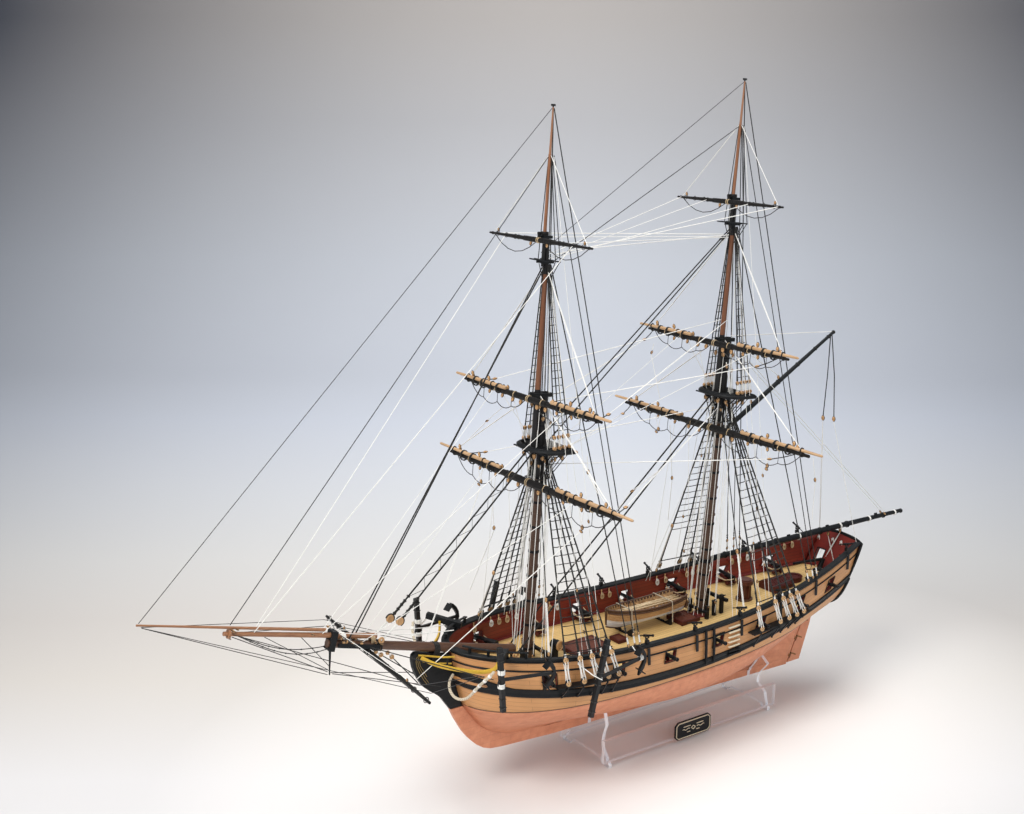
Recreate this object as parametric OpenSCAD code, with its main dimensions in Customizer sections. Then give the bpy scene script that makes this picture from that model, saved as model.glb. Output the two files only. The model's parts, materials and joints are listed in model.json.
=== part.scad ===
// Rigged display model of a two-masted 14-gun brig, 1:64, on an acrylic stand.
// +X bow, +Y port, +Z up; origin on the table under the middle of the stand; millimetres.
/* [Hull] */
// Half-breadth of the hull amidships
half_beam = 61.5; // [58:0.5:64]
// Height of the load waterline above the table
wl_z = 78; // [76:0.5:79]
// Thickness of the hull planking
plank_t = 2.0; // [1.6:0.1:2.4]
// Thickness of the inner bulwark lining
lining_t = 1.0; // [0.8:0.1:1.2]
// Half-thickness of keel, stem and sternpost
keel_ht = 2.1; // [1.8:0.1:2.1]
// Thickness the wale stands proud of the planking
wale_t = 1.1; // [0.8:0.1:1.4]
/* [Spars] */
// Radius of the lower masts at the deck
mast_r = 4.2; // [3.9:0.1:4.4]
// Rake of the fore mast, degrees aft
fore_rake = 3.8; // [3.4:0.1:4.2]
// Rake of the main mast, degrees aft
main_rake = 4.3; // [3.9:0.1:4.7]
// Length of each lower yard
course_yard_l = 217; // [205:1:225]
// Radius of the lower yards at the slings
course_yard_r = 2.5; // [2.2:0.1:2.7]
/* [Guns] */
// Width of a gun port along the hull
port_w = 10; // [9:0.5:11]
// Radius of a gun barrel at the breech
gun_r = 2.2; // [1.9:0.1:2.4]
/* [Stand] */
// Thickness of the acrylic sheet
sheet_t = 3.2; // [3:0.1:4]
// Half the distance between the two side plates
plate_y = 28; // [26:0.5:30]
/* [Hidden] */
$fn = 24;
copper = [0.80,0.52,0.40];
pear = [0.86,0.66,0.46];
ink = [0.07,0.08,0.09];
oxblood = [0.42,0.09,0.07];
maple = [0.90,0.76,0.52];
walnut = [0.38,0.22,0.15];
ochre = [0.80,0.62,0.12];
rope_dark = [0.10,0.09,0.08];
acryl = [0.85,0.88,0.92];
deadeye_tan = [.62,.45,.28];
hinge_brown = [.45,.30,.16];
topmast_brown = [.45,.22,.15];
jib_boom_tan = [.66,.42,.26];
stunsail_tan = [.80,.60,.38];
gaff_olive = [.18,.17,.12];
thwart_brown = [.55,.36,.2];
capstan_red = [.34,.12,.09];
skylight_red = [.30,.09,.09];
gun_black = [.09,.09,.1];
swivel_black = [.08,.08,.09];

// ---- helpers ----
function clamp(value, low, high) = min(max(value,low),high);
function unit(v) = v/norm(v);
function mix(a, b, part) = a+(b-a)*part;
// point at height z on the line from a to b
function at_height(a, b, z) = mix(a,b,(z-a[2])/(b[2]-a[2]));
// Catmull-Rom interpolation through a table of [x, y] pairs
function interval(x, table, i=0) =
  i>=len(table)-2 || x<table[i+1][0] ? i : interval(x,table,i+1);
function slope(table, i) =
  let(low=table[max(i-1,0)], high=table[min(i+1,len(table)-1)])
  (high[1]-low[1])/(high[0]-low[0]);
function curve(at, table) =
  let(x=clamp(at,table[0][0],table[len(table)-1][0]), i=interval(x,table),
    start=table[i], end=table[i+1], span=end[0]-start[0], s=(x-start[0])/span)
  start[1]*(2*s*s*s-3*s*s+1) + slope(table,i)*span*(s*s*s-2*s*s+s)
  + end[1]*(3*s*s-2*s*s*s) + slope(table,i+1)*span*(s*s*s-s*s);

// moves the origin to a and turns +Z towards b
module along(a, b) {
  run = b-a;
  translate(a) rotate([0,acos(run[2]/norm(run)),atan2(run[1],run[0])]) children();
}
// round bar from a to b
module bar(a, b, start_r, end_r=undef)
  along(a,b) cylinder(h=norm(b-a),r1=start_r,r2=is_undef(end_r)?start_r:end_r);
// square timber from a to b
module beam(a, b, width, depth)
  along(a,b) translate([-depth/2,-width/2,0]) cube([depth,width,norm(b-a)]);
module ring(height, outer_r, inner_r, cut_h) difference() {
  cylinder(h=height,r=outer_r,center=true);
  cylinder(h=cut_h,r=inner_r,center=true);
}
// ring round a mast with a block reaching out along X
module collar(height, outer_r, inner_r, cut_h, arm_x, arm_l, arm_w) difference() {
  union() {
    cylinder(h=height,r=outer_r,center=true);
    translate([arm_x,-arm_w/2,-height/2]) cube([arm_l,arm_w,height]);
  }
  cylinder(h=cut_h,r=inner_r,center=true);
}
// extrudes an [x, z] outline evenly to both sides of the centre plane
module upright(half_t)
  translate([0,half_t,0]) rotate([90,0,0]) linear_extrude(2*half_t) children();
module both() {
  children();
  mirror([0,1,0]) children();
}

// ---- hull surface ----
// A station runs from 0 at the stern to 1 at the bow.
stern_x = -198;
bow_x = 226;
widest_x = 60;
wale_h = 6.5;
port_sill = 5;
port_head = 14.5;
function rail_z(x) = 112 + (x<20 ? 4.42e-4 : 2.83e-4)*(x-20)*(x-20);
function wale_z(x) = 88.3 + 3.95e-4*(x-30)*(x-30);
function deck_z(x) = 90.3 + 2.2e-4*(x-50)*(x-50);
function rabbet_z(x) = 28 + 0.0363*(x+135);
// [z, x] of the hull's aft and fore ends
aft_end = [[20,-130.4],[40,-139.5],[60,-148.6],[74,-155.0],[80,-158.4],[86,-164.5],
  [92,-173.0],[106,-183.5],[132,-198],[150,-207]];
fore_end = [[30,110],[37.8,135],[40.7,166],[45.9,184.4],[54.2,198.6],[65.3,208],[73,213.4],
  [80,217.3],[95,222],[122,226],[150,228]];
// [station, exponent] of the cross-section curve: outer and inner power
outer_power = [[0,12],[.03,6.8],[.06,4.3],[.1,2.7],[.18,1.55],[.26,1.18],[.35,1.0],[.45,.92],
  [.55,.92],[.69,1.15],[.85,1.35],[1,1.5]];
inner_power = [[0,1.3],[.2,1.8],[.4,2.6],[.55,2.8],[.7,2.5],[.85,2.2],[1,2]];

function plan_y(x) = x<widest_x
  ? half_beam-34*pow((widest_x-x)/(widest_x-stern_x),2.4)
  : half_beam*sqrt(max(0,1-pow((x-widest_x)/(bow_x-widest_x),2.79)));
function hull_x(station, z) = curve(z,aft_end)*(1-station)+curve(z,fore_end)*station;
function section_y(station, x, z) =
  let(foot=rabbet_z(x),
    rise=clamp((z-foot)/(86-foot),0,1),
    fullness=pow(max(0,1-pow(1-rise,curve(station,inner_power))),curve(station,outer_power)),
    widest=plan_y(mix(stern_x,bow_x,station)),
    tumblehome=z>88 ? 1.4*pow((z-88)/26,2) : 0,
    core=keel_ht+.6)
  max(core, core+(widest-core)*fullness-tumblehome*min(1,widest/25));
function skin(station, z) = let(x=hull_x(station,z)) [x,section_y(station,x,z),z];
function skin_normal(station, z) =
  let(fore=skin(min(station+.003,1),z)-skin(max(station-.003,0),z),
    up=skin(station,z+.8)-skin(station,z-.8),
    n=cross(up,fore))
  unit(n[1]<0 && station<.99 ? -n : n);
// surface point moved outwards by gap
function skin_off(station, z, gap) =
  let(p=skin(station,z)+skin_normal(station,z)*gap) [p[0],max(keel_ht+.05,p[1]),p[2]];
function station_at(x, z) = (x-hull_x(0,z))/(hull_x(1,z)-hull_x(0,z));
function hull_y(x, z) = section_y(station_at(x,z),x,z);
function port_station(x) = station_at(x,deck_z(x)+9.5);

// gun port centres, bow to stern
port_x = [170,112,61,9,-42,-96,-145];
port_breaks = concat([0],
  [for (i=[len(port_x)-1:-1:0])
    each [port_station(port_x[i]-port_w/2),port_station(port_x[i]+port_w/2)]],
  [.915,.935,.955,.97,.982,.991,.997,1]);
// stations of the sides: every break, with the gaps between subdivided
side_stations = concat(
  [for (i=[0:len(port_breaks)-2])
    let(gap=port_breaks[i+1]-port_breaks[i], steps=max(1,ceil(gap/.042)))
    each [for (k=[0:steps-1]) port_breaks[i]+gap*k/steps]],
  [1]);
plain_stations = concat([for (k=[0:21]) k/22*.9],[.9,.925,.95,.97,.985,.995,1]);
function in_port(i) =
  let(middle=(side_stations[i]+side_stations[i+1])/2)
  len([for (x=port_x)
    if (middle>port_station(x-port_w/2) && middle<port_station(x+port_w/2)) 1])>0;
no_hole = function(i, j) false;
function port_holes(row) = function(i, j) j==row && in_port(i);

// closed shell between two grids of points, with optional missing cells
module shell(outer, inner, hole=no_hole) {
  rows = len(outer);
  columns = len(outer[0]);
  filled = function(i, j) i>=0 && i<rows-1 && j>=0 && j<columns-1 && !hole(i,j);
  faces = [for (i=[0:rows-2]) for (j=[0:columns-2]) if (filled(i,j))
    let(first=i*columns+j,
      a=[first,first+columns,first+columns+1,first+1],
      b=[for (k=a) k+rows*columns],
      joined=[filled(i,j-1),filled(i+1,j),filled(i,j+1),filled(i-1,j)])
    each concat(
      [[a[0],a[1],a[2]],[a[0],a[2],a[3]],[b[0],b[2],b[1]],[b[0],b[3],b[2]]],
      [for (e=[0:3]) if (!joined[e]) let(f=(e+1)%4)
        each [[a[f],a[e],b[e]],[a[f],b[e],b[f]]]])];
  polyhedron(points=concat([for (row=outer) each row],[for (row=inner) each row]),faces=faces);
}
function skin_grid(heights, gap) =
  [for (u=side_stations) let(x=hull_x(u,96)) [for (z=heights(x)) skin_off(u,z,gap)]];
// strip of hull side between two offsets, port and starboard
module band(heights, outer, inner, hole=no_hole)
  both() shell(skin_grid(heights,outer),skin_grid(heights,inner),hole);

// ---- hull planking ----
lining_heights = function(x)
  [deck_z(x)+.6,deck_z(x)+port_sill,deck_z(x)+port_head,rail_z(x)];
side_heights = function(x)
  let(low=wl_z+.05, high=wale_z(x)-wale_h)
  concat([for (k=[0:4]) mix(low,high,k/4)],
    [wale_z(x),deck_z(x)+port_sill,deck_z(x)+port_head,rail_z(x)]);
module hull_topsides() color(pear) difference() {
  band(side_heights,0,-plank_t,port_holes(6));
  bowsprit_way();
}
module bulwark_lining() color(oxblood) difference() {
  band(lining_heights,-plank_t-.15,-plank_t-lining_t,port_holes(1));
  bowsprit_way();
}
module wales() color(ink) band(function(x) [wale_z(x)-wale_h,wale_z(x)],wale_t,.05);
module sheer_mouldings() color(ink) band(function(x) [rail_z(x)-8.2,rail_z(x)-7],.8,.12);

// rise: 0 at the rabbet, 1 at the waterline
bottom_rises = [0,.05,.12,.2,.3,.42,.55,.7,.85,1];
function bottom_outer(station, rise, gap=0) =
  let(x=hull_x(station,mix(rabbet_z(hull_x(station,60)),wl_z,rise)))
  skin_off(station,max(mix(rabbet_z(x),wl_z,rise),29),gap);
function bottom_inner(station, rise) =
  let(p=bottom_outer(station,rise,-plank_t), outer=bottom_outer(station,rise))
  [p[0],min(p[1],outer[1]-.1),rise==1 ? wl_z : p[2]];
module hull_bottom() color(copper) both() shell(
  [for (u=plain_stations) [for (rise=bottom_rises) bottom_outer(u,rise)]],
  [for (u=plain_stations) [for (rise=bottom_rises) bottom_inner(u,rise)]]);

// edge: [outward, up] points of one side of the rail
function rail_grid(edge) =
  [for (u=plain_stations) let(z=rail_z(hull_x(u,118))+.3)
    [for (p=edge) skin_off(u,z,p[0])+[0,0,p[1]]]];
module cap_rails() color(ink) difference() {
  both() shell(rail_grid([[1.6,0],[1.9,.8],[1.6,1.7]]),rail_grid([[-4,0],[-4.2,.8],[-4,1.7]]));
  bowsprit_way();
}

// ---- deck ----
deck_t = 1.6;
camber = 2.2;
capstan_x = -79;
capstan_r = 7.4;
round_coaming_x = -141;
round_coaming_r = 7;
skylight_x = -119;
skylight_size = [24,20];
galley_x = 128;
galley_base = 11;
pump_x = -35;
pump_y = 8.5;
post_w = 2.8;
// [x, y, length, width, height]
hatch_list = [[98,0,34,24,3.4],[-8,0,20,20,3.2],[64,2,10,12,2.6]];
// [x, y, height]
post_list = [for (s=[-1,1]) each [[164,s*6.6,15],[143,s*9,11],[-43,s*9,17],[-25,s*10.5,12]]];
deck_widths = [-1,-.8,-.5,-.2,.2,.5,.8,1];
deck_stations = concat([.006,.02],[for (k=[1:20]) k/21*.93],[.95,.97,.985,.992]);
function deck_point(station, across, drop) =
  let(edge=skin_off(station,deck_z(hull_x(station,96)),-plank_t-.45))
  [edge[0],(edge[1]-.1)*across,edge[2]+camber*(1-across*across)-drop];
function deck_grid(drop) =
  [for (u=deck_stations) [for (across=deck_widths) deck_point(u,across,drop)]];
module deck_slot(x, y, length, width)
  translate([x,y,100]) cube([length+.2,width+.2,60],center=true);
module deck_bore(x, y, r) translate([x,y,80]) cylinder(h=60,r=r);
module deck() color(maple) difference() {
  shell(deck_grid(0),deck_grid(deck_t));
  for (h=hatch_list) deck_slot(h[0],h[1],h[2],h[3]);
  deck_bore(round_coaming_x,0,round_coaming_r+.1);
  deck_bore(capstan_x,0,capstan_r+.1);
  deck_slot(skylight_x,0,skylight_size[0],skylight_size[1]);
  deck_slot(galley_x,0,galley_base,galley_base);
  for (p=post_list) deck_slot(p[0],p[1],post_w,post_w);
  for (s=[-1,1]) deck_bore(pump_x,s*pump_y,2.05);
  for (mast=[0,1]) bar(mast_at(mast,60),mast_at(mast,130),mast_r+.25);
  rudder_way();
}

// ---- keel, stem and stern ----
module keel() color(copper) upright(keel_ht) polygon([
  [rudder_x(22)+1.4,22],[0,25.6],[130,29],[180,32.3],[190,33.6],[196.5,36],[203,40.5],
  [209.4,47],[214.5,53.6],[218.5,60.4],[222.5,67.6],[226.3,76],[215.7,76],[213.2,73],
  [207.7,65.4],[198.2,54.4],[184,46.1],[166,40.6],[135,37.6],[-112,28.4],[-121,33],[-128,40],
  [rudder_x(65)+8,65],[rudder_x(65.4)+2.2,65.4],[rudder_x(83.5)+2.1,83.5],
  [rudder_x(83.5)+1.4,83.5]]);
module stem_knee() color(ink) upright(1.9) polygon([
  [226.6,76.3],[229.6,80.6],[234.4,87.4],[239.6,92.0],[244.8,95.8],[249.1,99.6],[252.5,104.4],
  [255.9,110.8],[258.3,117.2],[259.2,122.8],[258.8,127.0],[256.5,128.9],[253,128.4],
  [250,127.4],[246,126.2],[241,124.6],[236,123.2],[230,121.6],[226.6,120.6],[226.2,119.8],
  [222.4,95],[217.6,80],[216,76.3]]);

stern_heights = [66,70,74,78,82,86,89,92,96,100,103];
function stern_point(z, across, gap) =
  let(p=skin(0,z))
  [p[0]-gap-1.5*(1-across*across)*clamp((z-84)/12,0,1),(p[1]-.2)*across,z];
function stern_grid(gap) =
  [for (z=stern_heights) [for (across=[-1,-.5,0,.5,1]) stern_point(z,across,gap)]];
// raked upper board with two openings
module stern_window_board() {
  foot_z = 103.2;
  translate([curve(foot_z,aft_end)-1.0,0,foot_z]) rotate([0,-28.6,0]) difference() {
    translate([-2.4,0,0]) rotate([90,0,90]) linear_extrude(2.4)
      polygon([[-26,0],[26,0],[25.6,30.5],[20,33],[0,34.6],[-20,33],[-25.6,30.5]]);
    for (s=[-1,1]) translate([-3,s*13-4.5,5]) cube([4,9,11]);
  }
}
module stern_board() color(ink) {
  difference() {
    shell(stern_grid(.45),stern_grid(2.2));
    rudder_way();
  }
  stern_window_board();
}

// ---- head and catheads ----
head_rail_path = [[212.5,35.0,128.7],[215.0,33.0,119.2],[225.1,26.5,116.6],
  [239.8,17.0,117.9],[246.2,9.5,120.2],[252.6,3.3,125.0]];
module head_rails() color(ochre) both() {
  for (i=[0:4]) hull() {
    translate(head_rail_path[i]) sphere(r=1.25,$fn=10);
    translate(head_rail_path[i+1]) sphere(r=1.1,$fn=10);
  }
  beam([229,5,119],[252,2.9,123.4],1,1.6);
}
// the outer end of each timber has a slit across it
module catheads() color(ink) both() difference() {
  beam([196,30,125.4],[214.5,51,131],4.4,4.4);
  translate([211.5,47.6,128]) rotate([0,0,-41]) cube([4,.7,12],center=true);
}

// ---- channels, chain plates and deadeyes ----
// x of the deadeyes
main_deadeyes = [-33,-57,-69,-80,-90.2];
fore_deadeyes = [162,149.5,138.5,129,119.8];
deadeye_x = concat(main_deadeyes,fore_deadeyes);
function channel_z(x) = x>0 ? 98.2 : 97.4;
function shroud_foot(x) = [x,hull_y(x,channel_z(x))+9.25,channel_z(x)+4.2];
function shroud_top(x) = x>0
  ? mast_at(0,top_z[0]-3)+[(x-140)*.085-.6,4.2,0]
  : mast_at(1,top_z[1]-3)+[(x+66)*.07-.6,4.2,0];
function up_shroud(x, distance) =
  shroud_foot(x)+unit(shroud_top(x)-shroud_foot(x))*distance;

module channel(aft_x, fore_x) {
  parts = 5;
  z = channel_z(aft_x);
  for (k=[0:parts-1]) {
    x0 = mix(aft_x,fore_x,k/parts);
    x1 = mix(aft_x,fore_x,(k+1)/parts);
    translate([0,0,z]) linear_extrude(1.2) polygon([
      [x0,hull_y(x0,z)+.35],[x1-.02,hull_y(x1,z)+.35],
      [x1-.02,hull_y(x1,z)+7.9],[x0,hull_y(x0,z)+7.9]]);
  }
}
module channels() color(ink) both() {
  channel(-104,-26);
  channel(116.8,168);
}
module chain_plates() color(ink) both() for (x=deadeye_x) {
  foot = shroud_foot(x);
  wale = wale_z(x);
  beam([x,foot[1],channel_z(x)+1.0],[x,hull_y(x,wale-4)+wale_t+1.3,wale-4.5],1.0,.7);
  translate([x-.8,hull_y(x,wale-5)+wale_t+.35,wale-6.2]) cube([1.6,.8,1.5]);
  translate(foot+[0,0,1]) rotate([90,0,0]) ring(1.1,2.5,2.2,3);
}
module deadeye(centre) translate(centre) rotate([90,0,0]) difference() {
  cylinder(h=1.8,r=2.1,center=true);
  for (a=[90,210,330]) rotate([0,0,a]) translate([1.0,0,0])
    cylinder(h=3,r=.32,center=true,$fn=16);
}
module deadeyes() color(deadeye_tan) both() for (x=deadeye_x) {
  deadeye(shroud_foot(x)+[0,0,1]);
  deadeye(up_shroud(x,17.5));
}

// ---- rudder ----
rudder_slope = .455;
hinge_z = [29,44,59,73.5];
function rudder_x(z) = -136-(z-22)*rudder_slope;
function rudder_axis(z) = [rudder_x(z),0,z];
module on_rudder_axis(z) translate(rudder_axis(z)) rotate([0,-atan(rudder_slope),0]) children();
// clearance for the rudder stock
module rudder_way() bar(rudder_axis(70),rudder_axis(130),3.4);
// [z, x from the axis]
blade_outline = [[23,-.3],[23,-15.4],[42,-13.4],[55.4,-11.9],[67,-9.2],[73,-6.6],[84,-5.6],
  [84,-.3]];
module rudder_blade() color(copper) difference() {
  upright(1.8) polygon([for (p=blade_outline) [rudder_x(p[0])+p[1],p[0]]]);
  for (z=hinge_z) on_rudder_axis(z) translate([0,0,.6]) cylinder(h=5.8,r=2.35,center=true);
}
module pintles() color(hinge_brown) for (z=hinge_z) on_rudder_axis(z) {
  translate([0,0,-1.4]) cylinder(h=3.5,r=.6);
  translate([0,0,2.1]) cylinder(h=1.1,r=1.1);
  for (s=[-1,1]) translate([-7.2,s*2.1-.25,2.1]) cube([7.0,.5,1.1]);
  translate([-1.4,-2.3,2.1]) cube([.9,4.6,1.1]);
}
module gudgeons() color(hinge_brown) for (z=hinge_z) on_rudder_axis(z) difference() {
  union() {
    translate([0,0,-.9]) cylinder(h=2.6,r=1.2);
    translate([.8,-2.5,-.9]) cube([.4,5,2.6]);
    for (s=[-1,1]) translate([.8,s*2.35-.18,-.9]) cube([1.5,.36,2.6]);
  }
  translate([0,0,-2]) cylinder(h=6,r=.65);
  translate([1.21,-2.16,-2]) cube([5,4.32,6]);
}
module tiller() color(ink) {
  on_rudder_axis(85.4) cylinder(h=31.5,r=2.2);
  bar(rudder_axis(112.5)+[2.1,0,1.2],[-139,0,117.0],1.5,1.0);
}

// ---- masts ----
// Every pair is [fore, main]; heights are measured on the lower mast's axis line.
mast_x = [154.6,-28.2]; // at z = 110
mast_rake = [fore_rake,main_rake];
top_z = [266,285];
cap_z = [306,329];
crosstree_z = [405,423];
topmast_cap_z = [423,443];
hound_z = [483,502.5];
truck_z = [518,537.5];
// upper mast axes forward of the lower mast's axis
topmast_off = 6.6;
topgallant_off = 9.8;
function mast_at(mast, z, forward=0) =
  let(rake=mast_rake[mast])
  [mast_x[mast]-(z-110)*tan(rake)+forward*cos(rake),0,z+forward*sin(rake)];
module on_mast(mast, z, forward=0)
  translate(mast_at(mast,z,forward)) rotate([0,-mast_rake[mast],0]) children();

module lower_mast(mast) color(walnut) {
  shoulder = top_z[mast]-8;
  bar(mast_at(mast,86),mast_at(mast,shoulder),mast_r,mast_r-.75);
  bar(mast_at(mast,shoulder),mast_at(mast,cap_z[mast]+2),mast_r-.8,2.9);
  for (k=[0:6]) on_mast(mast,112+k*(top_z[mast]-130)/6.6) ring(1.6,4.75-.1*k,4.2-.1*k,2);
}
top_outline = [[-6,-22],[8,-22],[17,-17],[21,-9],[22,0],[21,9],[17,17],[8,22],[-6,22]];
top_rim_inside = [[-5,-20.6],[7.6,-20.6],[15.8,-16.2],[19.6,-8.6],[20.6,0],[19.6,8.6],
  [15.8,16.2],[7.6,20.6],[-5,20.6]];
// platform, its raised rim, trestle trees and cross trees
module top_platform() {
  difference() {
    translate([-9,0,0]) linear_extrude(1.3) polygon(top_outline);
    translate([-5,-6.5,-1]) cube([16,13,4]);
  }
  difference() {
    translate([-9,0,1.35]) linear_extrude(.9) polygon(top_outline);
    translate([-9,0,0]) linear_extrude(3) polygon(top_rim_inside);
  }
  for (s=[-1,1]) translate([-12,s*5.1-.7,-2.6]) cube([24,1.4,2.5]);
  for (x=[-10,9.6]) translate([x,-20,-.95]) difference() {
    cube([1.4,40,.9]);
    translate([-1,14.1,-1]) cube([4,11.8,3]);
  }
}
module top_and_cap(mast) color(ink) {
  on_mast(mast,top_z[mast]) top_platform();
  on_mast(mast,cap_z[mast]) difference() {
    translate([-4.4,-4,0]) cube([15.2,8,3]);
    translate([0,0,-1]) cylinder(h=5,r=2.95);
    translate([topmast_off,0,-1]) cylinder(h=5,r=2.45);
  }
}
module topmast(mast) color(topmast_brown) {
  joint = mast_at(mast,crosstree_z[mast],topmast_off);
  bar(mast_at(mast,top_z[mast]-3,topmast_off),joint,2.4,1.75);
  bar(joint,mast_at(mast,topmast_cap_z[mast]+2,topmast_off),1.45);
}
module crosstrees(mast) color(ink) {
  notched_x = 1.9;
  on_mast(mast,crosstree_z[mast],topmast_off) {
    for (s=[-1,1]) translate([-5,s*2.6-.5,0]) cube([12,1,1.6]);
    for (x=[-4,notched_x,6]) translate([x,-12,1.65]) difference() {
      cube([.9,24,.9]);
      if (x==notched_x) translate([-1,10,-1]) cube([3,4,3]);
    }
  }
  on_mast(mast,topmast_cap_z[mast],topmast_off) difference() {
    translate([-2.6,-2.4,0]) cube([8,4.8,2]);
    translate([0,0,-1]) cylinder(h=4,r=1.5);
    translate([topgallant_off-topmast_off,0,-1]) cylinder(h=4,r=1.35);
  }
}
module topgallant_mast(mast) color(topmast_brown) {
  hounds = mast_at(mast,hound_z[mast],topgallant_off);
  truck_foot = truck_z[mast]-1.4;
  bar(mast_at(mast,crosstree_z[mast]-2.5,topgallant_off),hounds,1.3,1.15);
  bar(hounds,mast_at(mast,truck_foot,topgallant_off),.95,.6);
  on_mast(mast,truck_foot,topgallant_off) cylinder(h=1.4,r=1.7);
}
module fore_lower_mast() lower_mast(0);
module main_lower_mast() lower_mast(1);
module fore_top() top_and_cap(0);
module main_top() top_and_cap(1);
module fore_topmast() topmast(0);
module main_topmast() topmast(1);
module fore_crosstrees() crosstrees(0);
module main_crosstrees() crosstrees(1);
module fore_topgallant_mast() topgallant_mast(0);
module main_topgallant_mast() topgallant_mast(1);

// ---- bowsprit ----
function bowsprit_at(x) = [x,0,127.6+(x-234.2)*.272];
function jib_boom_at(distance) = [288,0,149.2]+distance*unit([1,0,.25]);
// clearance for the bowsprit through the bow
module bowsprit_way() bar(bowsprit_at(186),bowsprit_at(244),4.35);
module bowsprit() color(walnut) bar(bowsprit_at(168),bowsprit_at(327),4.0,2.9);
module bowsprit_cap() color(ink) {
  tilt = -15.2;
  translate(bowsprit_at(322)) rotate([0,tilt,0]) difference() {
    translate([0,-4.2,-4.6]) cube([4.2,8.4,14.2]);
    translate([-1,0,0]) rotate([0,90,0]) cylinder(h=8,r=3.0);
    translate([-1,0,6.05]) rotate([0,91.2,0]) cylinder(h=8,r=2.25);
  }
  bar(bowsprit_at(324.6)+[0,0,-5],[325.5,0,128.8],.9,.5);
  for (s=[-1,1]) translate(bowsprit_at(296)+[0,s*4.4,0]) rotate([0,tilt,0])
    translate([-9,-.7,-1.5]) cube([34,1.4,3]);
}
module jib_boom() color(jib_boom_tan) {
  bar(jib_boom_at(0),jib_boom_at(118),2.1,1.5);
  translate(jib_boom_at(113.5)) rotate([0,76,0]) cylinder(h=1.6,r=3.1);
  bar(jib_boom_at(41)+[0,0,3.9],[460.4,0,197.2],1.25,.7);
}
module spritsail_yard() color(ink) translate([294.5,9,138.4]) rotate([0,0,-4.4])
  for (s=[-1,1]) rotate([-90*s,0,0]) {
    cylinder(h=30,r=1.9);
    translate([0,0,30]) cylinder(h=55,r1=1.9,r2=1.0);
  }

// ---- yards ----
course_yard_z = [240.5,257.4];
topsail_yard_z = [304.7,327.7];
topgallant_yard_z = [421.6,441.4];
topsail_yard_l = [172,163];
topgallant_yard_l = [125,119];
lower_collar_r = 3.95;
// tapered yard; its collar sits on the axis at collar_off, raised by hang
module yard(mast, z, length, radius, forward, collar_r, collar_off=0, wall=1.1, hang=0)
  on_mast(mast,z,forward) {
    for (s=[-1,1]) rotate([-90*s,0,0]) {
      cylinder(h=length*.22,r1=radius,r2=radius*.95);
      translate([0,0,length*.22]) cylinder(h=length*.28,r1=radius*.95,r2=radius*.5);
      translate([0,0,length*.47]) cylinder(h=.8,r=radius*.85);
    }
    if (hang>0) translate([-.7,-1.2,0]) cube([1.5,2.4,hang+1.1]);
    translate([collar_off-forward,0,hang])
      collar(2.2,collar_r+wall,collar_r,4,0,forward-collar_off+(hang>0 ? .6 : -radius*.6),2.4);
  }
// thin rods above the yardarms, each with two discs
module stunsail_booms(mast, z, length, radius, forward)
  color(stunsail_tan) on_mast(mast,z,forward) for (s=[-1,1]) {
    rod_z = radius+1.15;
    translate([.4,s*length*.2,rod_z]) rotate([-90*s,0,0]) cylinder(h=length*.375,r1=1.15,r2=.8);
    for (part=[.27,.468]) translate([.4,s*length*part,0]) rotate([90,0,0])
      translate([0,rod_z,0]) cylinder(h=1,r=1.7,center=true);
  }
module course_yard(mast) {
  z = course_yard_z[mast];
  forward = 9.5;
  color(ink) yard(mast,z,course_yard_l,course_yard_r,forward,lower_collar_r);
  stunsail_booms(mast,z,course_yard_l,course_yard_r,forward);
}
module topsail_yard(mast) {
  z = topsail_yard_z[mast];
  length = topsail_yard_l[mast];
  forward = topmast_off+7.6;
  color(ink) yard(mast,z,length,2.0,forward,2.6,topmast_off,wall=.85);
  stunsail_booms(mast,z,length,2.0,forward);
}
module topgallant_yard(mast) color(ink)
  yard(mast,topgallant_yard_z[mast],topgallant_yard_l[mast],1.5,topgallant_off+4.9,1.6,
    topgallant_off,hang=4.9);
module fore_course_yard() course_yard(0);
module main_course_yard() course_yard(1);
module fore_topsail_yard() topsail_yard(0);
module main_topsail_yard() topsail_yard(1);
module fore_topgallant_yard() topgallant_yard(0);
module main_topgallant_yard() topgallant_yard(1);

module gaff_spar() color(gaff_olive) {
  gaff_z = 249;
  foot = mast_at(1,gaff_z);
  peak = [-172.4,0,324.2];
  along_gaff = unit(peak-foot);
  bar(foot+along_gaff*6.4,foot+along_gaff*40,1.9,2.2);
  bar(foot+along_gaff*40,peak,2.2,1.3);
  on_mast(1,gaff_z+1) collar(2.4,5.3,lower_collar_r,4,-7.6,5,3);
}
module boom_spar() color(ink) on_mast(1,142.5) {
  collar(3,6.1,4.55,5,-11,7,3.6);
  rotate([0,main_rake,0]) {
    translate([-9,0,0]) rotate([0,-90.3,0]) cylinder(h=110,r1=2.1,r2=2.7);
    translate([-118.9,0,-.55]) rotate([0,-90.3,0]) cylinder(h=133,r1=2.7,r2=1.8);
  }
}

// ---- boat ----
// part: 0 at the boat's aft end, 1 at its fore end
boat_mid_x = 28;
boat_y = -9;
boat_l = 84;
boat_parts = [for (k=[0:16]) .03+.955*k/16];
function boat_x(part) = boat_mid_x+(part-.5)*boat_l;
function boat_half(part) =
  12.2*pow(max(0,1-pow(abs(part-.42)/(part<.42 ? .62 : .58),2.3)),.72);
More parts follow.
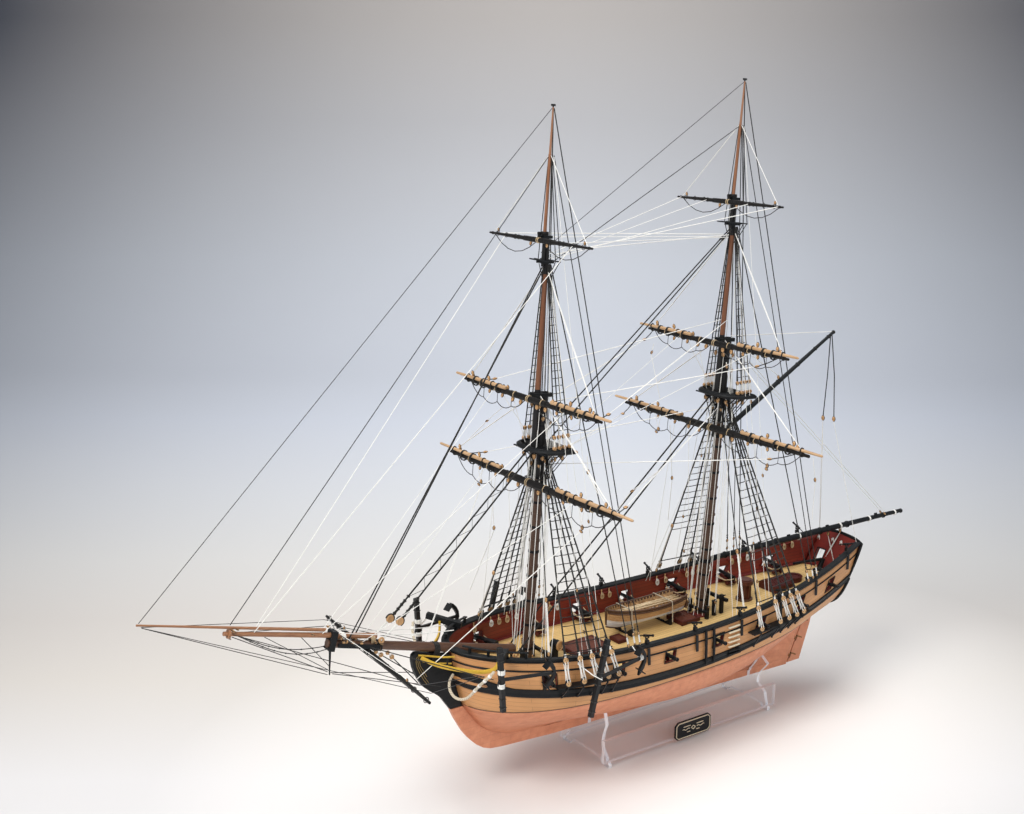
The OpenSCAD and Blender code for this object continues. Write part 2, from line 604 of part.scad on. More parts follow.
// across: -1 and 1 at the gunwales, 0 on the centreline
function boat_point(part, across, inset) =
  let(half=max(0,boat_half(part)-inset),
    low=98.8+4*pow(max(0,(part-.8)/.2),2)+inset,
    high=112.5+14*pow(part-.45,2),
    angle=abs(across)*90)
  [boat_x(part),boat_y+(across<0 ? -1 : 1)*half*pow(sin(angle),.8),
    low+(high-low)*pow(1-cos(angle),.85)];
function boat_grid(inset) = [for (p=boat_parts) [for (w=[-6:6]) boat_point(p,w/6,inset)]];
module boat_hull() color(pear) shell(boat_grid(0),boat_grid(.9));
// thwarts, oars and an upright board at the aft end
module boat_fittings() {
  color(thwart_brown) for (part=[.22,.36,.5,.64,.78])
    translate([boat_x(part),boat_y,109]) cube([3.4,2*boat_half(part)-5.2,.8],center=true);
  color(maple) for (k=[0:3]) {
    y = boat_y-3+k*2;
    bar([boat_mid_x-33,y,110.4],[boat_mid_x+30,y*.9-1,110.6],.45);
  }
  color(walnut) translate([boat_x(.035),boat_y,107]) cube([.8,8,8.6],center=true);
}
module boat_chocks() color(ink) for (x=[boat_mid_x+22,boat_mid_x-20]) {
  half = boat_half((x-boat_mid_x)/boat_l+.5);
  z = deck_z(x)+2.4;
  for (s=[-1,1]) translate([x-1.2,boat_y,z]) rotate([90,0,90]) linear_extrude(2.4)
    polygon([[s*2,0],[s*11.5,0],[s*13,7.2],[s*(half*.86+1.1),5.6],[s*(half*.5+1),2.6]]);
  translate([x-1.2,boat_y-1.98,z]) cube([2.4,3.96,.9]);
}

// ---- deck gear ----
// frame with a crossed grating inside
module coaming(x, y, length, width, height) translate([x,y,deck_z(x)+2.2]) {
  wall = 1.6;
  pitch = 2.6;
  inner_l = length-2*wall;
  inner_w = width-2*wall;
  difference() {
    translate([-length/2,-width/2,-2.6]) cube([length,width,height+2.6]);
    translate([-inner_l/2,-inner_w/2,-3]) cube([inner_l,inner_w,height+6]);
  }
  for (k=[1:floor((length-3.2)/pitch)])
    translate([-length/2+k*pitch,-width/2+1.7,height-1.3]) cube([1.0,width-3.4,1]);
  for (k=[1:floor((width-3.2)/pitch)])
    translate([-length/2+1.7,-width/2+k*pitch,height-1.2]) cube([length-3.4,1.0,.8]);
}
module hatches() color(oxblood) {
  for (h=hatch_list) coaming(h[0],h[1],h[2],h[3],h[4]);
  translate([round_coaming_x,0,deck_z(round_coaming_x)-.4]) difference() {
    cylinder(h=6.6,r=round_coaming_r);
    translate([0,0,-1]) cylinder(h=9,r=4.6);
  }
}
// ribbed drum and head, with a centre bore and bar sockets
module capstan_drum() color(capstan_red)
  translate([capstan_x,0,deck_z(capstan_x)+3.8]) difference() {
    union() {
      cylinder(h=13,r1=4.4,r2=3.6);
      for (a=[0:45:315]) rotate([0,0,a]) translate([3,-.6,.3]) cube([2.8,1.2,11.8]);
      translate([0,0,13]) cylinder(h=3.6,r=7.2);
      translate([0,0,16.6]) cylinder(h=.8,r=5.6);
    }
    translate([0,0,-1]) cylinder(h=15,r=1.25);
    for (a=[22.5:45:337.5]) rotate([0,0,a]) translate([4,-.55,14.2]) cube([5,1.1,1.2]);
  }
module capstan_base() color(walnut) translate([capstan_x,0,deck_z(capstan_x)+.8]) {
  cylinder(h=2.9,r=capstan_r);
  cylinder(h=15.8,r=1.2);
}
module skylight() color(skylight_red)
  translate([skylight_x,0,deck_z(skylight_x)+1.7]) {
    difference() {
      translate([-12,-10,-1]) cube([skylight_size[0],skylight_size[1],5.6]);
      translate([-10.4,-8.4,-2]) cube([20.8,16.8,9]);
    }
    rotate([90,0,90]) translate([0,4.65,-12]) linear_extrude(skylight_size[0])
      polygon([[-10,0],[10,0],[9,1.2],[0,5.2],[-9,1.2]]);
  }
module galley_funnel() color(ink) translate([galley_x,0,deck_z(galley_x)+1.9]) {
  cylinder(h=9,r=3);
  translate([0,-2.6,10.6]) rotate([-90,0,12]) difference() {
    cylinder(h=7.4,r=3.6);
    translate([0,0,4]) cylinder(h=5,r=2.9);
  }
  translate([0,0,-1.4]) cube([galley_base,galley_base,1.9],center=true);
}
module bitts() {
  for (p=post_list) translate([p[0]-post_w/2,p[1]-post_w/2,deck_z(p[0])-1])
    cube([post_w,post_w,p[2]+3]);
  translate([-47.1,-13,deck_z(-42)+13]) cube([2.6,26,2.6]);
  translate([138.9,-12,deck_z(143)+8]) cube([2.6,24,2.2]);
  translate([-22.9,-14,deck_z(-25)+8.5]) cube([2.4,28,2]);
}
module pump(side) {
  y = side*pump_y;
  z = deck_z(pump_x);
  translate([pump_x,y,z+.5]) cylinder(h=14,r=1.9);
  translate([pump_x,y,z+14.6]) cylinder(h=.8,r=2.3);
  bar([pump_x,y,z+16],[-43,side*13.6,z+20.5],.5);
}
module bitts_and_pumps() {
  color(ink) bitts();
  color(walnut) for (s=[-1,1]) pump(s);
}
// boarding steps and vertical fenders on both sides
step_gap = [2.4,1.6,1.6,2.1,1.6];
module side_ladder() both() {
  color(maple) for (k=[0:4]) {
    z = 91.6+k*4.1;
    translate([-8.2,hull_y(-8.2,z)+step_gap[k],z]) cube([13,2.0,.9],center=true);
  }
  color(ink) for (x=[24.6,15.9])
    beam([x,hull_y(x,90)+2.2,90],[x,hull_y(x,111)+2.1,111.6],1.6,1.6);
}

// ---- guns ----
// in a gun's own frame +Y points out of the port
trunnion_z = 7.6;
cheek_outline = [[0,0],[15,0],[15,5.4],[9,5.4],[7.2,4],[4.8,4],[4.4,2.8],[2,2.8],[1.6,1.6],
  [0,1.6]];
module at_gun(x)
  translate([x,hull_y(x,103),deck_z(x)+1.8])
  rotate([0,0,atan2(hull_y(x+4,103)-hull_y(x-4,103),8)])
  translate([0,-12.4,0]) children();
module carriage() {
  axle_y = [-6,4.6];
  wheel_r = [1.8,2.0];
  difference() {
    union() {
      for (s=[-1,1]) translate([s*2.7-.6,-8.2,1.9]) rotate([90,0,90])
        linear_extrude(1.2) polygon(cheek_outline);
      translate([-2.2,-7.4,2]) cube([4.4,13.4,1]);
      for (y=axle_y) translate([0,y,2.1]) rotate([0,90,0]) cylinder(h=9.2,r=.6,center=true);
    }
    translate([0,0,trunnion_z]) rotate([0,90,0]) cylinder(h=8,r=.75,center=true);
  }
  for (k=[0,1]) for (s=[-1,1]) translate([s*4.05,axle_y[k],2.1]) rotate([0,90,0])
    ring(1.2,wheel_r[k],.62,2);
}
module barrel() {
  rotate([-90,0,0]) {
    translate([0,0,-9.2]) cylinder(h=6,r1=gun_r,r2=gun_r*.97);
    translate([0,0,-3.2]) cylinder(h=19.2,r1=gun_r*.9,r2=gun_r*.62);
    translate([0,0,15.3]) cylinder(h=1.5,r1=gun_r*.66,r2=gun_r*.86);
    translate([0,0,-10]) cylinder(h=.9,r=gun_r*1.12);
    translate([0,0,-11.6]) cylinder(h=1.7,r1=.5,r2=.75);
  }
  rotate([0,90,0]) cylinder(h=6.4,r=.7,center=true);
}
module gun_carriages() color(ink) both() for (x=port_x) at_gun(x) carriage();
module gun_barrels() color(gun_black) both()
  for (x=port_x) at_gun(x) translate([0,0,trunnion_z]) barrel();

module swivel_barrel() {
  translate([0,0,-3.5]) cylinder(h=9.5,r1=1.1,r2=.7);
  translate([0,0,5.4]) cylinder(h=1,r=1.0);
  translate([0,0,-8.5]) cylinder(h=5.4,r=.4);
  rotate([0,90,0]) cylinder(h=3.4,r=.4,center=true);
}
module swivel_gun() {
  cylinder(h=1.3,r=.5);
  for (s=[-1,1]) translate([s*1.5-.3,-.5,1.4]) cube([.6,1,2.4]);
  translate([-1.8,-.5,1.0]) cube([3.6,1,.6]);
  translate([0,0,3.4]) rotate([-72,0,8]) swivel_barrel();
}
module swivel_guns() color(swivel_black) both() for (x=[84,34,-17,-67,-119,-174]) {
  z = rail_z(x);
  y = hull_y(x,z)-.9;
  low = z-14.5;
  high = z-1.2;
  beam([x,hull_y(x,low)+1.65,low],[x,hull_y(x,high)+1.5,high],2.4,.7);
  translate([x-1.3,y-1.3,z+2.15]) cube([2.6,2.6,3]);
  translate([x,y,z+5.15]) swivel_gun();
}

// ---- anchors: shank along the hull, stock upright at the ring ----
arms_outline = [[0,0],[-1,4.5],[-3.4,8.6],[-7.2,12],[-9.4,13],[-7.8,8.6],[-4.8,5.4],[-2.6,2],
  [-2.4,0],[-2.6,-2],[-4.8,-5.4],[-7.8,-8.6],[-9.4,-13],[-7.2,-12],[-3.4,-8.6],[-1,-4.5]];
module anchor(ring_end, crown, tilt, stock_l) {
  run = crown-ring_end;
  length = norm(run);
  translate(ring_end) rotate([0,tilt,0])
    translate([-1.7,-1.7,-stock_l/2]) cube([3.4,3.4,stock_l]);
  translate(ring_end) rotate([0,0,atan2(run[1],run[0])]) rotate([0,-asin(run[2]/length),0]) {
    translate([2,-1,-1]) cube([length-4.2,2,2]);
    translate([length,0,0]) upright(1.1) polygon(arms_outline);
    for (s=[-1,1]) translate([length-8.9,-3.1,s*8.2]) rotate([0,s*42,0])
      cube([.9,6.2,6.4],center=true);
  }
}
module anchors() color(ink) both() {
  anchor([218.5,57,119],[176,64.8,117],4,50);
  anchor([141,72,106],[96,72,113],-14,60);
}

// ---- rigging ----
topmast_shrouds = [-5,0,5];
// backstay feet by mast: to crosstrees, hounds and truck
backstay_x = [[104,98,93],[-105,-112,-118]];
function top_rim(mast, x) = mast_at(mast,top_z[mast]+3)+[x-5,19.6,0];
function topmast_shroud_foot(mast, x) = top_rim(mast,x)+[0,-.4,7];
function topmast_shroud_top(mast, x) =
  mast_at(mast,crosstree_z[mast]-1,topmast_off)+[x*.18-.5,2.4,0];
function rail_foot(x) = [x,hull_y(x,116)+2.6,rail_z(x)+2.4];
// points on the topmast and topgallant axes, rise above the named height
function at_crosstree(mast, rise) = mast_at(mast,crosstree_z[mast]+rise,topmast_off);
function at_hounds(mast, rise) = mast_at(mast,hound_z[mast]+rise,topgallant_off);
function at_truck(mast) = mast_at(mast,truck_z[mast]-3,topgallant_off);

module shrouds() both() {
  for (x=deadeye_x) bar(up_shroud(x,19.4),shroud_top(x),.42);
  for (mast=[0,1]) {
    for (x=topmast_shrouds) {
      bar(topmast_shroud_foot(mast,x),topmast_shroud_top(mast,x),.3);
      bar(top_rim(mast,x)+[0,-.2,-3.6],mast_at(mast,top_z[mast]-22)+[x*.6,6.8,0],.28);
    }
    for (x=[-4,.5])
      bar(at_crosstree(mast,3)+[x-.5,10.6,0],at_hounds(mast,-1)+[x*.2-.3,1.7,0],.2);
  }
}
module backstays() both() for (mast=[0,1]) {
  feet = [for (x=backstay_x[mast]) rail_foot(x)];
  bar(feet[0],at_crosstree(mast,-1)+[-2.6,2.2,0],.32);
  bar(feet[1],at_hounds(mast,-1)+[-2.6,1.4,0],.2);
  bar(feet[2],at_truck(mast)+[-.6,.5,0],.16);
}
module stays() {
  for (s=[-1,1]) {
    bar([285-1.7*s,3.7*s,147.9],mast_at(0,top_z[0]+4)+[5,3.4*s,0],.5);
    bar([171+3*s,9*s,deck_z(160)+14],mast_at(1,top_z[1]+4)+[5,3.4*s,0],.5);
    bar([309.5+4*s,2.6*s,148.6],at_crosstree(0,-3)+[2.6,1.2*s,0],.32);
    bar(mast_at(0,top_z[0]-1)+[1,5*s,4],at_crosstree(1,-3)+[2.6,1.2*s,0],.32);
  }
  bar(jib_boom_at(113)+[0,0,6.2],at_hounds(0,-2)+[1.4,0,0],.2);
  bar([458.8,0,198.1],at_truck(0)+[1,0,0],.16);
  bar(at_crosstree(0,-4)+[2.4,0,0],at_hounds(1,-2)+[1.4,0,0],.2);
  bar(at_crosstree(0,4)+[5.2,0,4],at_truck(1)+[1,0,0],.16);
}
// bobstays, martingale and bowsprit shrouds
module bowsprit_rigging() {
  for (k=[0,1]) bar([257.3-3.8*k,0,112.2-8.4*k],bowsprit_at(290-10*k)-[0,0,4.4],.4);
  bar([327,0,131.6],jib_boom_at(112)-[0,0,2.2],.2);
  bar([327,0,129.4],[457,0,194.6],.2);
  for (s=[-1,1]) {
    bar([323.8,1.2*s,129.6],[243,15*s,104],.2);
    bar([208,40*s,108],bowsprit_at(298)+[0,3.8*s,0],.36);
  }
}
module standing_rigging() color(rope_dark) {
  shrouds();
  backstays();
  stays();
  bowsprit_rigging();
}
// x of the outermost shrouds crossed by the lower ratlines, by mast
ratline_x = [[162,119.8],[-57,-90.2]];
module lower_ratlines(mast) for (k=[0:19]) {
  z = mix(126,top_z[mast]-24,k/19);
  ends = [for (x=ratline_x[mast]) at_height(shroud_foot(x),shroud_top(x),z)];
  bar(ends[0]+[.6,0,0],ends[1]-[.6,0,0],.16);
}
module topmast_ratlines(mast) for (k=[0:15]) {
  z = mix(top_z[mast]+16,crosstree_z[mast]-14,k/15);
  ends = [for (x=[-5,5])
    at_height(topmast_shroud_foot(mast,x),topmast_shroud_top(mast,x),z)];
  bar(ends[0]-[.4,0,0],ends[1]+[.4,0,0],.14);
}
module ratlines() color(rope_dark) both() for (mast=[0,1]) {
  lower_ratlines(mast);
  topmast_ratlines(mast);
}

// ---- stand ----
// [y, z] of each cradle's outer edge, foot to horn
fore_cradle_edge = [[30,0],[30.5,2],[25.5,8],[21,14],[20.4,18.5],[21.5,26],[24.9,35.3]];
aft_cradle_edge = [[28.2,0],[28.6,2],[25,9],[23.4,15.4],[14.5,21.4],[14.2,26],[16.2,31.6],
  [25.1,42.5]];
module cradle(x, keel_z, horn_z, edge) {
  steps = 6;
  bed = [for (k=[steps:-1:0]) let(z=mix(keel_z+6,horn_z,k/steps)) [hull_y(x,z)+.85,z-.7]];
  half = concat(edge,bed,[[keel_ht+.3,keel_z+5],[keel_ht+.3,keel_z]]);
  outline = concat([[-6,4.8],[6,4.8],[19,4],[22,0]],half,
    [for (k=[len(half)-1:-1:0]) [-half[k][0],half[k][1]]],[[-22,0],[-19,4]]);
  slot_w = sheet_t+.1;
  translate([x-sheet_t/2,0,0]) difference() {
    rotate([90,0,90]) linear_extrude(sheet_t) polygon(outline);
    for (s=[-1,1]) translate([-1,s*plate_y-slot_w/2,4.4]) cube([sheet_t+2,slot_w,20.2]);
  }
}
module stand_cradles() color(acryl,.4) {
  cradle(93,27.85,45.4,fore_cradle_edge);
  cradle(-87,23.15,48.5,aft_cradle_edge);
}
module stand_side_plates() color(acryl,.4)
  for (s=[-1,1]) translate([-93,s*plate_y-sheet_t/2,4.5]) cube([192,sheet_t,19.6]);
module nameplate() color(ink)
  translate([4.5,plate_y+sheet_t/2+.05,11]) rotate([-90,0,0]) linear_extrude(1.2)
  polygon([[-20,-5],[-20,5],[-17,8],[17,8],[20,5],[20,-5],[17,-8],[-17,-8]]);

stand_cradles();
stand_side_plates();
nameplate();
keel();
stem_knee();
hull_bottom();
hull_topsides();
wales();
sheer_mouldings();
bulwark_lining();
deck();
cap_rails();
stern_board();
head_rails();
catheads();
channels();
chain_plates();
deadeyes();
gudgeons();
rudder_blade();
pintles();
tiller();
fore_lower_mast();
fore_top();
fore_topmast();
fore_crosstrees();
fore_topgallant_mast();
main_lower_mast();
main_top();
main_topmast();
main_crosstrees();
main_topgallant_mast();
bowsprit();
bowsprit_cap();
jib_boom();
spritsail_yard();
fore_course_yard();
fore_topsail_yard();
fore_topgallant_yard();
main_course_yard();
main_topsail_yard();
main_topgallant_yard();
gaff_spar();
boom_spar();
boat_hull();
boat_fittings();
boat_chocks();
hatches();
capstan_drum();
capstan_base();
skylight();
galley_funnel();
bitts_and_pumps();
side_ladder();
gun_carriages();
gun_barrels();
swivel_guns();
anchors();
standing_rigging();
ratlines();
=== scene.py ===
import bpy, math, random, json
import numpy as np
from mathutils import Vector, Matrix


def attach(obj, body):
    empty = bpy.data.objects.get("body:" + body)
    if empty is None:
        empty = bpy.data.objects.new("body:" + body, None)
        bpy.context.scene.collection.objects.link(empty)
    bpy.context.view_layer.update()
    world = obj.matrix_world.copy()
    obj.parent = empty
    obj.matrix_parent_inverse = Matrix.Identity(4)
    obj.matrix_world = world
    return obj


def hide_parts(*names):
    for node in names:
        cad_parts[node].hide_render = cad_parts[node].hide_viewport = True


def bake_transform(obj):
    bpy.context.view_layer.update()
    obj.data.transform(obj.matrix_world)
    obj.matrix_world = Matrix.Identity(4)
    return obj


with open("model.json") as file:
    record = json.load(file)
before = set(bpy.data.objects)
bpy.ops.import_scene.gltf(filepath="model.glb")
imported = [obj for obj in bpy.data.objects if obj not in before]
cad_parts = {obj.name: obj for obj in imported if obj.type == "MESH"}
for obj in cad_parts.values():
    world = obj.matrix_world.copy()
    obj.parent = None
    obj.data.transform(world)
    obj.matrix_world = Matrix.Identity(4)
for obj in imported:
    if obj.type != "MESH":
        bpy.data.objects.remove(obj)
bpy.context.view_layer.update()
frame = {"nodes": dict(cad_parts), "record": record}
rnd = random.Random(11)
sc = bpy.context.scene
REC = frame["record"]
J = {j["name"]: j for j in REC["behaviour"]["joints"]}
mm = lambda p: np.array(p, float) * 1000.0

# ------------------------------------------------------------------ materials
class NT:
    def __init__(s, name):
        s.m = bpy.data.materials.new(name); s.m.use_nodes = True
        s.t = s.m.node_tree; s.t.nodes.clear()
        s.out = s.t.nodes.new("ShaderNodeOutputMaterial")
        s.b = s.t.nodes.new("ShaderNodeBsdfPrincipled")
        s.t.links.new(s.b.outputs[0], s.out.inputs[0])
    def n(s, typ, ins=None, **kw):
        x = s.t.nodes.new("ShaderNode" + typ)
        for k, v in kw.items(): setattr(x, k, v)
        for k, v in (ins or {}).items():
            if isinstance(v, bpy.types.NodeSocket): s.t.links.new(v, x.inputs[k])
            else: x.inputs[k].default_value = v
        return x
    def ramp(s, fac, stops):
        r = s.n("ValToRGB", {"Fac": fac}); e = r.color_ramp.elements
        while len(e) > 1: e.remove(e[-1])
        e[0].position = stops[0][0]; e[0].color = (*stops[0][1], 1)
        for p, c in stops[1:]:
            q = e.new(p); q.color = (*c, 1)
        return r.outputs["Color"]
    def math(s, op, a, b=0.0):
        x = s.n("Math", {0: a, 1: b}, operation=op); return x.outputs[0]
    def mix(s, fac, a, b, mode="MIX"):
        x = s.n("Mix", data_type="RGBA", blend_type=mode)
        for k, v in ((0, fac), (6, a), (7, b)):
            if isinstance(v, bpy.types.NodeSocket): s.t.links.new(v, x.inputs[k])
            else: x.inputs[k].default_value = v if k == 0 else (*v, 1) if len(v) == 3 else v
        return x.outputs[2]
    def bump(s, h, strength, dist=0.0002, normal=None):
        d = {"Height": h, "Strength": strength, "Distance": dist}
        if normal is not None: d["Normal"] = normal
        return s.n("Bump", d).outputs[0]
    def set(s, **kw):
        for k, v in kw.items():
            k = {"color": "Base Color", "rough": "Roughness", "metal": "Metallic", "normal": "Normal", "coat": "Coat Weight", "sheen": "Sheen Weight", "spec": "Specular IOR Level"}.get(k, k)
            if isinstance(v, bpy.types.NodeSocket): s.t.links.new(v, s.b.inputs[k])
            else: s.b.inputs[k].default_value = (*v, 1) if isinstance(v, tuple) and len(v) == 3 else v
        return s.m
    def obj(s): return s.n("TexCoord").outputs["Object"]
    def uv(s): return s.n("TexCoord").outputs["UV"]
    def mapped(s, vec, scale, rot=(0, 0, 0)):
        return s.n("Mapping", {"Vector": vec, "Scale": scale, "Rotation": rot}).outputs[0]
    def noise(s, vec, scale, detail=4.0, rough=0.55, out="Fac"):
        return s.n("TexNoise", {"Vector": vec, "Scale": scale, "Detail": detail, "Roughness": rough}).outputs[out]

STRETCH = {"X": (12, 260, 260), "Y": (260, 12, 260), "Z": (260, 260, 12)}
def wood(name, dark, light, axis="X", rough=0.42, bump=0.35, knots=0.25, coat=0.08):
    a = NT(name); v = a.obj(); g = a.noise(a.mapped(v, STRETCH[axis]), 6.0, 8.0, 0.62)
    fine = a.noise(a.mapped(v, tuple(q * 4 for q in STRETCH[axis])), 9.0, 3.0)
    big = a.noise(v, 55.0, 3.0)
    col = a.ramp(g, [(0.28, dark), (0.72, light)])
    col = a.mix(a.math("MULTIPLY", a.math("GREATER_THAN", fine, 0.62), knots), col, tuple(q * 0.55 for q in dark))
    col = a.mix(0.16, col, a.ramp(big, [(0.3, tuple(q * 0.7 for q in dark)), (0.7, tuple(min(1, q * 1.12) for q in light))]))
    r = a.ramp(g, [(0.2, (rough - 0.08,) * 3), (0.8, (rough + 0.12,) * 3)])
    return a.set(color=col, rough=r, normal=a.bump(fine, bump, 0.00012), coat=coat)

def paint(name, c, rough=0.45, wear=None, axis="X", var=0.35, coat=0.05, spec=0.35):
    a = NT(name); v = a.obj(); g = a.noise(a.mapped(v, STRETCH[axis]), 5.0, 7.0, 0.6); n2 = a.noise(v, 420.0, 4.0)
    col = a.mix(var, c, a.ramp(g, [(0.25, tuple(q * 0.55 for q in c)), (0.75, tuple(min(1, q * 1.5 + 0.006) for q in c))]))
    if wear:
        f = a.math("MULTIPLY", a.math("GREATER_THAN", a.noise(v, 900.0, 5.0, 0.7), 0.69), 0.55)
        col = a.mix(f, col, wear)
    r = a.ramp(n2, [(0.2, (rough - 0.1,) * 3), (0.85, (rough + 0.16,) * 3)])
    return a.set(color=col, rough=r, normal=a.bump(g, 0.25, 0.0001), coat=coat, spec=spec)

def planked(name, dark, light, width, length, seam, seam_w=0.14, rough=0.45, uvmode=True, red=0.0, bumps=0.5):
    a = NT(name)
    v = a.uv() if uvmode else a.mapped(a.obj(), (1000, 1000, 1000))
    br = a.n("TexBrick", {"Vector": v, "Color1": (0.2, 0.2, 0.2, 1), "Color2": (0.9, 0.9, 0.9, 1), "Mortar": (0, 0, 0, 1), "Scale": 1.0, "Mortar Size": seam_w, "Mortar Smooth": 0.35, "Bias": 0.0, "Brick Width": length, "Row Height": width}, offset=0.37, offset_frequency=2)
    g = a.noise(a.mapped(v, (0.035, 0.9, 0.9)), 3.2, 8.0, 0.62)
    col = a.ramp(g, [(0.25, dark), (0.75, light)])
    tone = a.ramp(br.outputs["Color"], [(0.0, tuple(q * 0.8 for q in dark)), (1.0, tuple(min(1, q * 1.08) for q in light))])
    col = a.mix(0.33, col, tone)
    big = a.noise(v, 0.02, 3.0)
    col = a.mix(0.22, col, a.ramp(big, [(0.3, tuple(q * 0.82 for q in dark)), (0.7, light)]))
    col = a.mix(a.math("MULTIPLY", br.outputs["Fac"], 0.72), col, seam)
    h = a.math("SUBTRACT", a.math("MULTIPLY", g, 0.25), br.outputs["Fac"])
    return a.set(color=col, rough=a.ramp(g, [(0.2, (rough - 0.06,) * 3), (0.8, (rough + 0.14,) * 3)]), normal=a.bump(h, bumps, 0.00016), coat=0.06)

def copper(name, uvmode=True):
    a = NT(name); v = a.uv() if uvmode else a.mapped(a.obj(), (1000, 1000, 1000), (math.pi / 2, 0, 0))
    br = a.n("TexBrick", {"Vector": v, "Color1": (0.25, 0.25, 0.25, 1), "Color2": (0.8, 0.8, 0.8, 1), "Mortar": (0, 0, 0, 1), "Scale": 1.0, "Mortar Size": 0.1, "Mortar Smooth": 0.5, "Bias": 0.0, "Brick Width": 19.0, "Row Height": 5.6}, offset=0.5)
    n1 = a.noise(v, 0.16, 6.0, 0.6); n2 = a.noise(v, 1.1, 4.0, 0.6)
    col = a.ramp(n1, [(0.25, (0.56, 0.20, 0.10)), (0.55, (0.68, 0.275, 0.145)), (0.8, (0.75, 0.34, 0.19))])
    col = a.mix(0.22, col, a.ramp(br.outputs["Color"], [(0.0, (0.50, 0.18, 0.09)), (1.0, (0.78, 0.35, 0.2))]))
    col = a.mix(a.math("MULTIPLY", br.outputs["Fac"], 0.42), col, (0.30, 0.10, 0.05))
    nails = a.n("TexVoronoi", {"Vector": v, "Scale": 0.62, "Randomness": 0.12}, feature="F1").outputs["Distance"]
    h = a.math("ADD", a.math("MULTIPLY", a.math("LESS_THAN", nails, 0.16), 0.35), a.math("MULTIPLY", br.outputs["Fac"], -1.0))
    return a.set(color=col, metal=0.22, rough=a.ramp(n2, [(0.2, (0.40,) * 3), (0.85, (0.60,) * 3)]), normal=a.bump(h, 0.28, 0.00012))

def rope(name, c1, c2, rough=0.85, k=0.9):
    a = NT(name); sx = a.n("SeparateXYZ", {0: a.uv()})
    ph = a.math("ADD", a.math("MULTIPLY", sx.outputs[0], 3.0), a.math("MULTIPLY", sx.outputs[1], k))
    # w runs from 0 in the grooves between strands to 1 on the strand crowns; the colour runs from c1 to c2 with it, so
    # the grooves carry painted shade
    w = a.math("ABSOLUTE", a.math("SINE", a.math("MULTIPLY", ph, math.pi)))
    fuzz = a.noise(a.obj(), 2600.0, 3.0)
    col = a.mix(w, c1, c2); col = a.mix(0.25, col, a.ramp(fuzz, [(0.3, tuple(q * 0.6 for q in c1)), (0.7, tuple(min(1, q * 1.2) for q in c2))]))
    return a.set(color=col, rough=rough, normal=a.bump(a.math("ADD", w, a.math("MULTIPLY", fuzz, 0.3)), 0.6, 0.00012), sheen=0.25, spec=0.25)

def metal(name, c, rough=0.4, metallic=0.8):
    a = NT(name); v = a.obj(); n = a.noise(v, 700.0, 5.0, 0.6)
    col = a.mix(0.4, c, a.ramp(n, [(0.3, tuple(q * 0.5 for q in c)), (0.75, tuple(min(1, q * 1.45) for q in c))]))
    return a.set(color=col, metal=metallic, rough=a.ramp(n, [(0.2, (rough - 0.1,) * 3), (0.85, (rough + 0.2,) * 3)]), normal=a.bump(n, 0.2, 0.0001))

def acrylic(name, axis):
    """clear sheet: see-through faces with thin reflections, bright frosted cut edges"""
    a = NT(name); v = a.obj(); n = a.noise(v, 180.0, 3.0); scr = a.noise(a.mapped(v, (30, 900, 900)), 3.0, 6.0)
    a.set(color=(0.97, 0.98, 1.0), rough=a.ramp(n, [(0.2, (0.10,) * 3), (0.9, (0.22,) * 3)]), normal=a.bump(scr, 0.08, 0.00005), spec=0.9)
    tr = a.n("BsdfTransparent", {"Color": (0.985, 0.988, 0.995, 1)}); gl = a.n("BsdfGlossy", {"Color": (1, 1, 1, 1), "Roughness": 0.06})
    fr = a.n("LayerWeight", {"Blend": 0.5}); fr = a.n("MapRange", {"Value": a.math("POWER", fr.outputs["Facing"], 4.0), "From Min": 0.0, "From Max": 1.0, "To Min": 0.055, "To Max": 0.40}); m1 = a.t.nodes.new("ShaderNodeMixShader"); m2 = a.t.nodes.new("ShaderNodeMixShader")
    a.t.links.new(a.math("MULTIPLY", fr.outputs[0], 1.0), m1.inputs[0]); a.t.links.new(tr.outputs[0], m1.inputs[1]); a.t.links.new(gl.outputs[0], m1.inputs[2])
    ge = a.n("NewGeometry"); d = a.n("VectorMath", {0: ge.outputs["True Normal"], 1: axis}, operation="DOT_PRODUCT").outputs["Value"]
    e = a.math("LESS_THAN", a.math("ABSOLUTE", d), 0.8)
    f = a.math("ADD", a.math("MULTIPLY", e, 0.8), a.math("MULTIPLY", a.math("GREATER_THAN", scr, 0.66), 0.05))
    a.t.links.new(f, m2.inputs[0]); a.t.links.new(m1.outputs[0], m2.inputs[1]); a.t.links.new(a.b.outputs[0], m2.inputs[2]); a.t.links.new(m2.outputs[0], a.out.inputs[0])
    return a.m

M_PEAR = planked("hull_pear", (0.50, 0.222, 0.075), (0.72, 0.365, 0.145), 3.6, 92.0, (0.16, 0.07, 0.03), 0.10, 0.40)
M_COPPER = copper("copper_plates"); M_COPPER_O = copper("copper_keel", False)
M_DECK = planked("deck_planks", (0.62, 0.39, 0.135), (0.83, 0.57, 0.235), 3.1, 78.0, (0.30, 0.17, 0.07), 0.16, 0.55, uvmode=False)
M_RED = paint("oxblood_paint", (0.165, 0.015, 0.009), 0.5, wear=(0.24, 0.04, 0.02), coat=0.0)
M_REDD = paint("dark_oxblood", (0.075, 0.009, 0.006), 0.5, wear=(0.14, 0.024, 0.012), coat=0.0)
M_REDP = planked("oxblood_planks", (0.17, 0.016, 0.009), (0.28, 0.032, 0.017), 3.3, 84.0, (0.03, 0.002, 0.002), 0.16, 0.5)
M_INK = paint("black_paint", (0.0075, 0.0085, 0.0095), 0.5, wear=(0.03, 0.022, 0.015), var=0.5, coat=0.0, spec=0.22)
M_INKZ = paint("black_paint_z", (0.0075, 0.008, 0.009), 0.5, wear=(0.03, 0.022, 0.015), axis="Z", var=0.5, coat=0.0, spec=0.22)
M_INKY = paint("black_paint_y", (0.009, 0.008, 0.0075), 0.5, wear=(0.05, 0.034, 0.02), axis="Y", var=0.5, coat=0.0, spec=0.25)
